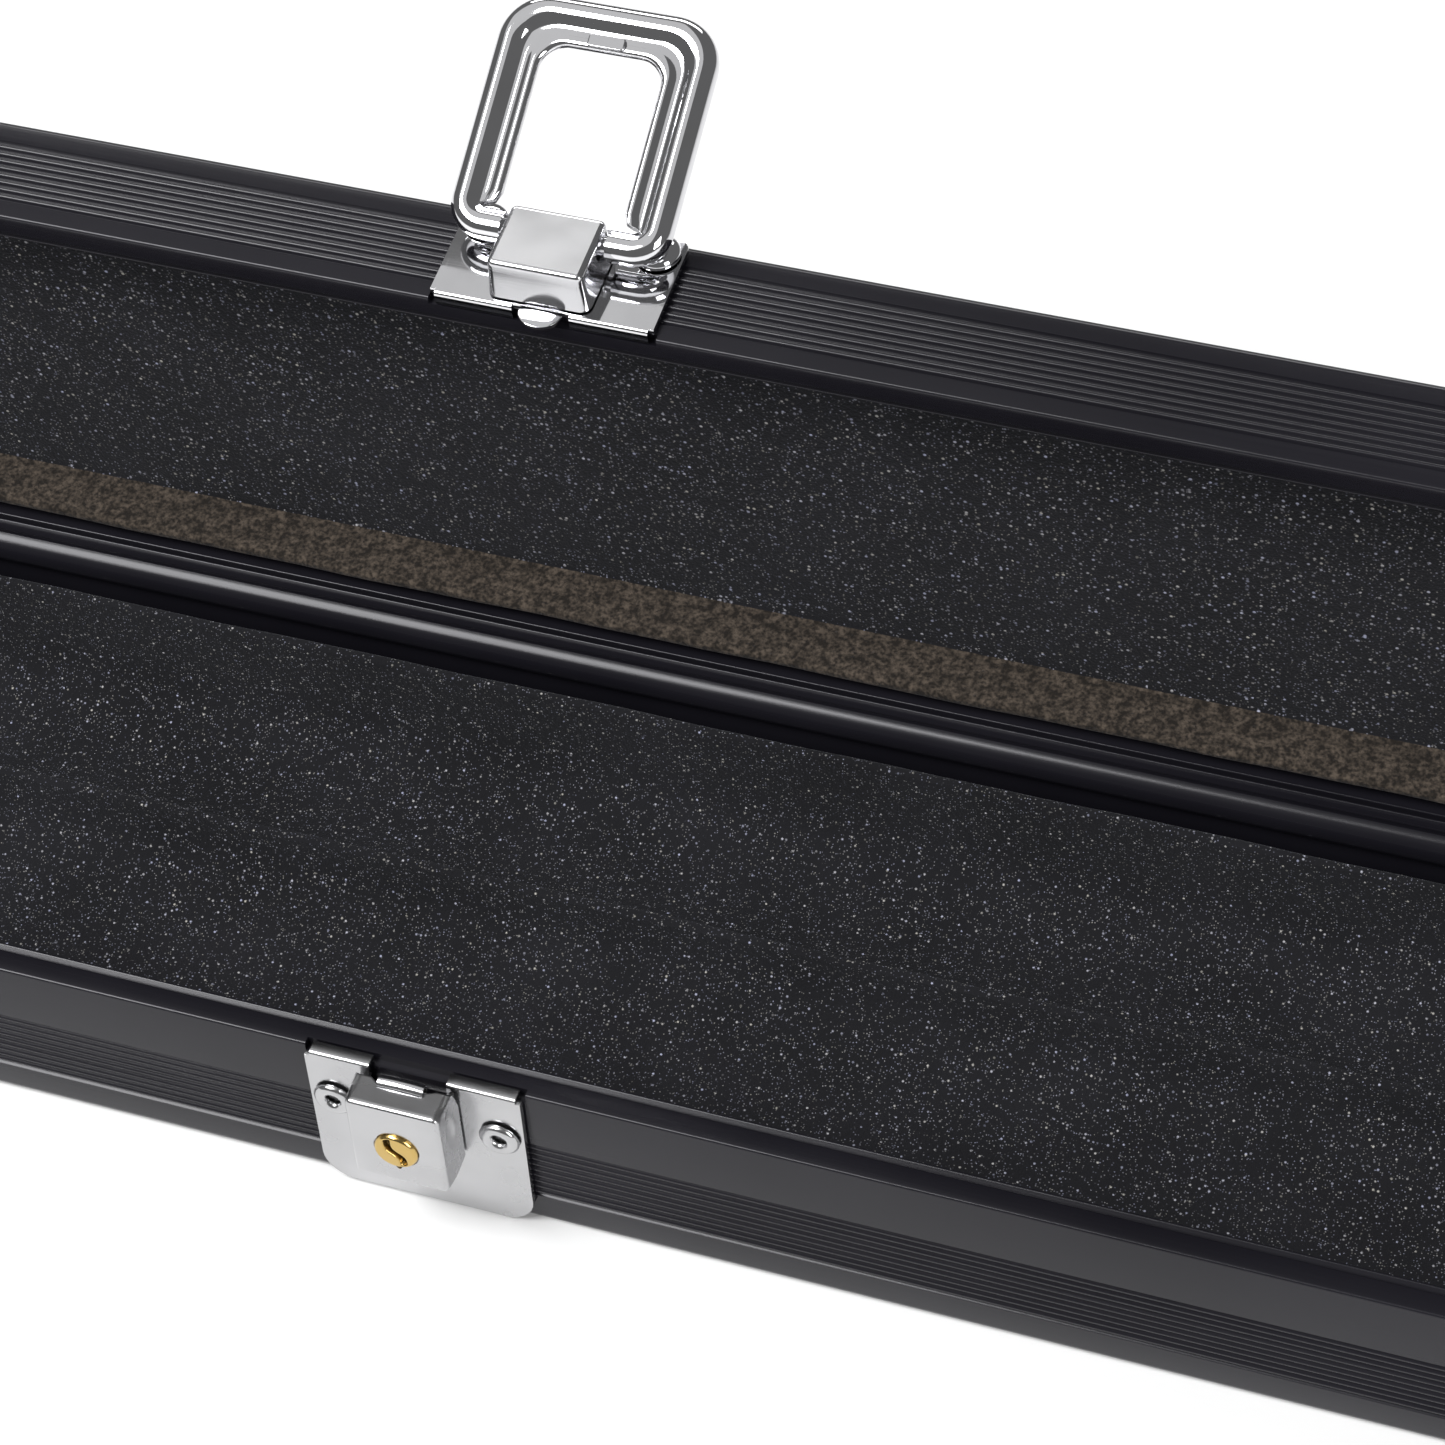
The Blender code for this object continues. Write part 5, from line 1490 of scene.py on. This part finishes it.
@dataclass
class Ends:
    """The four moulded caps and their screws."""

    finishes: Finishes
    plate: float = 3.0 * MM
    plate_edge: float = 0.45 * MM
    plug: float = 9.0 * MM
    edge: float = 0.5 * MM
    plug_corner: float = 1.0 * MM
    screw_radius: float = 1.9 * MM
    screw_rise: float = 0.8 * MM
    cross_half: float = 0.22 * MM
    cross_reach: float = 0.95 * MM
    cross_depth: float = 0.5 * MM
    shank: tuple = ((1.9, 0.0), (0.9, 0.0), (0.9, -6.8))

    def plug_span(self, place: Place) -> tuple:
        """The heights between which a cap's plug lies, clear of the lip and of the wall."""
        lip, wall = CASE.rim_depth + CASE.gap, CASE.wall + CASE.gap
        if place is LID:
            return CASE.lid_rim + lip, CASE.lid_top - wall
        return wall, CASE.base_height - lip

    def cap(self, side: Side, place: Place) -> None:
        """One cap: a plate with rolled rims over the end, and the plug inside it.

        Args:
            side: The end it closes.
            place: The half that it is on.
        """
        low, high, radii = 0.0, CASE.base_height, (CASE.corner, self.edge)
        if place is LID:
            low, high, radii = CASE.lid_rim, CASE.lid_top, radii[::-1]
        start, inner = CASE.end + CASE.gap, CASE.inner - CASE.gap
        outline = panel((CASE.front, low), (CASE.rear, high), radii, 6)
        plate = pillow(outline, start, start + self.plate, self.plate_edge, Plane.YZ)
        low, high = self.plug_span(place)
        outline = panel((-inner, low), (inner, high), [self.plug_corner] * 2, 6)
        mesh = plate.plus(pillow(outline, CASE.end - self.plug, start + self.plug_corner,
                                 self.edge, Plane.YZ))
        mesh.points[:, 0] *= side.value
        node = place.body + "_cap_" + side.word
        make_piece(node + "_moulding", mesh, self.finishes.moulded, place, node)

    def screw(self, side: Side, wall: str, place: Place) -> None:
        """One screw: a domed head with a cross sunk in it.

        The head is a polar grid whose height is a dome's, less the cross's depth near either
        of its two lines.

        Args:
            side: The end it is at.
            wall: The wall it is in.
            place: The half that it is on.
        """
        radius, angles = self.screw_radius, circle(64)
        rings = np.linspace(0, 1, 22)[:, None] * radius
        across, up = rings * np.cos(angles), rings * np.sin(angles)
        near = np.minimum(np.abs(across), np.abs(up))
        far = np.maximum(np.abs(across), np.abs(up))
        cross = within(near, self.cross_half, 0.04 * MM)
        cross *= within(far, self.cross_reach, 0.05 * MM)
        height = (self.screw_rise * np.sqrt(1 - 0.96 * (rings / radius) ** 2)
                  - self.cross_depth * cross)
        size, depth = np.array(self.shank).T[..., None] * MM
        sign, face = (1, CASE.rear) if wall == "rear" else (-1, CASE.front)
        points = np.stack([np.vstack([across, size * np.cos(angles)]),
                           sign * np.vstack([height, depth * np.ones_like(angles)]),
                           np.vstack([up, size * np.sin(angles)])], -1)
        spot = np.array([side.value * (CASE.end - self.plug / 2), face + sign * CASE.gap,
                         sum(self.plug_heights(place)) / 2])
        node = "%s_screw_%s_%s" % (place.body, wall, side.word)
        make_piece(node + "_head", grid_mesh(points + spot).closed(len(angles)),
                   self.finishes.zinc, place, node)

    def plug_heights(self, place: Place) -> tuple:
        """The heights of the lip's and the wall's inner faces, which a screw lies midway of."""
        if place is LID:
            return CASE.lid_rim + CASE.rim_depth, CASE.lid_top - CASE.wall
        return CASE.wall, CASE.base_height - CASE.rim_depth

    def build(self) -> None:
        """Caps and screws."""
        for side in Side:
            for place in (BASE, LID):
                self.cap(side, place)
                for wall in ("front", "rear"):
                    self.screw(side, wall, place)


# --- handle ------------------------------------------------------------------------------------

@dataclass
class Handle:
    """The carrying handle: a moulded grip on two riveted brackets."""

    finishes: Finishes
    span: float = 118.0 * MM
    reach: float = 29.0 * MM
    leg: float = 9.0 * MM
    bar: float = 11.0 * MM
    corner: float = 8.5 * MM
    thick: float = 4.4 * MM
    square: float = 0.72
    grip_half: float = 46.0 * MM
    finger: float = 20.0 * MM
    scallop: float = 0.45 * MM
    eye: float = 4.5 * MM
    droop: float = math.radians(14.0)
    ear: float = 1.5 * MM
    ear_root: float = 2.5 * MM
    ear_flare: float = 0.8 * MM
    sheet: float = 1.2 * MM
    plate_corner: float = 2.2 * MM

    def line(self) -> tuple:
        """The grip's middle line, seen from above, and how wide it is along it.

        Returns:
            Rows of x and y from the pivot, and the half width at each.
        """
        leg_x, corner = self.span / 2 - self.leg / 2, self.corner
        bar_y = -self.reach + self.bar / 2
        down = self.eye - np.linspace(0, 1, 26) ** 1.6 * (self.eye - bar_y - corner)
        half = np.vstack([np.stack([np.full(26, leg_x), down], -1)[:-1],
                          arc((leg_x - corner, bar_y + corner), corner, 0, -90, 12),
                          np.stack([np.linspace(leg_x - corner, 0, 26)[1:],
                                    np.full(25, bar_y)], -1)])
        share = np.clip((-half[:, 1] - 2 * MM) / (self.reach / 2), 0, 1)
        width = self.leg / 2 + (self.bar - self.leg) / 2 * share
        width *= np.sqrt(np.clip(1 - (np.clip(half[:, 1], 0, None) / self.eye) ** 2, 1e-4, 1))
        return mirrored(half), np.concatenate([width, width[-2::-1]])

    def oval(self, part: Array) -> Array:
        """A sine or a cosine, raised so that a circle becomes a squared oval."""
        return np.sign(part) * np.abs(part) ** self.square

    def build_grip(self) -> None:
        """The grip: a squared oval carried along its line, scalloped for the fingers."""
        line, width = self.line()
        along = headings(line)
        normal = np.stack([-along[:, 1], along[:, 0]], -1)
        turn = circle(48)
        sideways = width[:, None] * self.oval(np.cos(turn))[None]
        eye = np.clip(line[:, 1] / self.eye, 0, 1)
        thick = self.thick * np.sqrt(np.clip(1 - eye ** 2, 1e-4, 1))
        bar = np.clip(1 - np.abs(line[:, 0]) / self.grip_half, 0, 1) ** 0.3
        scallop = self.scallop * bar * np.cos(line[:, 0] / self.finger * 2 * math.pi)
        upward = thick[:, None] * self.oval(np.sin(turn))[None]
        upward = np.where(upward < 0, upward + scallop[:, None] * (-np.sin(turn)), upward)
        flat = line[:, None] + normal[:, None] * sideways[..., None]
        place = Place("handle", rest=joint("handle_hinge")["pos_m"], turn=self.droop)
        make_piece("handle_grip_moulding", tube(np.dstack([flat, upward])),
                   self.finishes.moulded, place, "handle_grip", 60.0)

    def build_bracket(self, side: Side) -> None:
        """One bracket: a riveted plate with two ears for the pin.

        Args:
            side: Which of the two.
        """
        word = side.word
        node = "handle_bracket_" + word
        low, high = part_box(node)
        back, reach = high.y, self.eye - CASE.gap
        y, z = joint("handle_hinge")["pos_m"][1:]
        mesh = pillow(panel((low.x, low.z), (high.x, high.z), [self.plate_corner] * 2, 6),
                      back - self.sheet, back, 0.2 * MM, Plane.XZ)
        foot, flare = back - self.sheet / 2, reach + self.ear_flare
        ear = np.vstack([[(foot, z - flare), (y + self.ear_root, z - reach)],
                         arc((y, z), reach, 270, 90, 20),
                         [(y + self.ear_root, z + reach), (foot, z + flare)]])
        for sign in (-1, 1):
            start = middle_of(node)[0] + sign * (self.leg / 2 + CASE.gap + self.ear / 2)
            mesh = mesh.plus(pillow(ear, start - self.ear / 2, start + self.ear / 2, 0.25 * MM,
                                    Plane.YZ))
        make_piece("handle_bracket_pressing_" + word, mesh, self.finishes.satin, BASE, node)
        dress("handle_pin_" + word, self.finishes.zinc)
        for ordinal in "ab":
            Rivets(self.finishes).collar("handle_rivet_%s_%s" % (word, ordinal),
                                         back - self.sheet - CASE.gap)

    def build(self) -> None:
        """The grip and both brackets."""
        self.build_grip()
        for side in Side:
            self.build_bracket(side)


# --- studio ------------------------------------------------------------------------------------

@dataclass
class Studio:
    """The floor, the soft lights and the camera."""

    azimuth: float = math.radians(21.66)
    elevation: float = math.radians(46.9)
    roll: float = math.radians(-4.11)
    lens: float = 102.44
    from_latch: tuple = (144.0 * MM, -292.5 * MM, 392.2 * MM)
    aim: tuple = (0.0, 0.0, 0.04)
    floor_half: float = 6.0
    floor_drop: float = 0.2 * MM
    ambient: float = 0.14
    boxes: tuple = (("key", (-0.64, -0.60, 1.25), (0.9, 0.7), 25.0),
                    ("back", (-0.35, 1.30, 1.00), (1.5, 0.4), 9.0),
                    ("top", (-0.40, -0.13, 1.14), (1.6, 1.0), 2.6),
                    ("side", (1.1, -0.7, 0.7), (0.5, 0.8), 9.0))

    def put(self, name: str, data: bpy.types.ID) -> Piece:
        """Put a camera, a light or a mesh into the scene as an object of a name."""
        item = bpy.data.objects.new(name, data)
        bpy.context.scene.collection.objects.link(item)
        return item

    def by_latch(self, spot: Sequence[float]) -> Vector:
        """A point given from the middle of the right-hand latch, along the case only."""
        return Vector((latch_x(Side.RIGHT) + spot[0], *spot[1:]))

    def build_camera(self) -> None:
        """The camera, looking down on the right-hand latch from the front."""
        camera = bpy.data.cameras.new("camera")
        camera.lens = self.lens
        camera.sensor_width = 36.0
        camera.clip_start = 0.01
        item = self.put("camera", camera)
        look = Euler((QUARTER - self.elevation, 0.0, self.azimuth)).to_matrix()
        turn = Matrix.Rotation(self.roll, 3, "Z")
        item.matrix_world = (Matrix.Translation(self.by_latch(self.from_latch))
                             @ (look @ turn).to_4x4())
        bpy.context.scene.camera = item

    def soft_box(self, name: str, spot: Sequence[float], size: Sequence[float],
                 power: float) -> None:
        """One soft box, turned to the right-hand latch.

        Args:
            name: Its name.
            spot: Where it stands, from the latch.
            size: Its width and height.
            power: Its power in watts.
        """
        light = bpy.data.lights.new(name, "AREA")
        light.shape = "RECTANGLE"
        light.size, light.size_y = size
        light.energy = power
        item = self.put(name, light)
        item.location = self.by_latch(spot)
        way = self.by_latch(self.aim) - self.by_latch(spot)
        item.rotation_euler = way.to_track_quat("-Z", "Y").to_euler()

    def build_floor(self) -> None:
        """A plain pale floor."""
        data = bpy.data.meshes.new("floor")
        reach, low = self.floor_half, CAD_BOX[0][2] - self.floor_drop
        data.from_pydata([(-reach, -reach, low), (reach, -reach, low), (reach, reach, low),
                          (-reach, reach, low)], [], [(0, 1, 2, 3)])
        sketch = Sketch("pale_floor")
        sketch.set(Base_Color=(0.86, 0.86, 0.86, 1.0), Roughness=0.7)
        data.materials.append(sketch.material)
        self.put("floor", data)

    def build(self) -> None:
        """Everything in the studio."""
        self.build_camera()
        self.build_floor()
        world = bpy.data.worlds.new("studio")
        world.use_nodes = True
        background = world.node_tree.nodes["Background"].inputs
        background["Color"].default_value = (1, 1, 1, 1)
        background["Strength"].default_value = self.ambient
        bpy.context.scene.world = world
        for box in self.boxes:
            self.soft_box(*box)
        view = bpy.context.scene.view_settings
        view.view_transform = "Standard"
        view.exposure = 0.0


def main() -> None:
    """Build the case's looks in order, then the studio."""
    finishes = Finishes()
    shell = Shell(finishes)
    shell.build_base()
    shell.build_lid()
    Linings(finishes).build()
    for side in Side:
        Hasp(finishes, side).build()
        Lock(finishes, side).build()
    Ends(finishes).build()
    Handle(finishes).build()
    Studio().build()


if __name__ == "__main__":
    logging.basicConfig(level=logging.INFO, format="%(name)s: %(message)s")
    main()
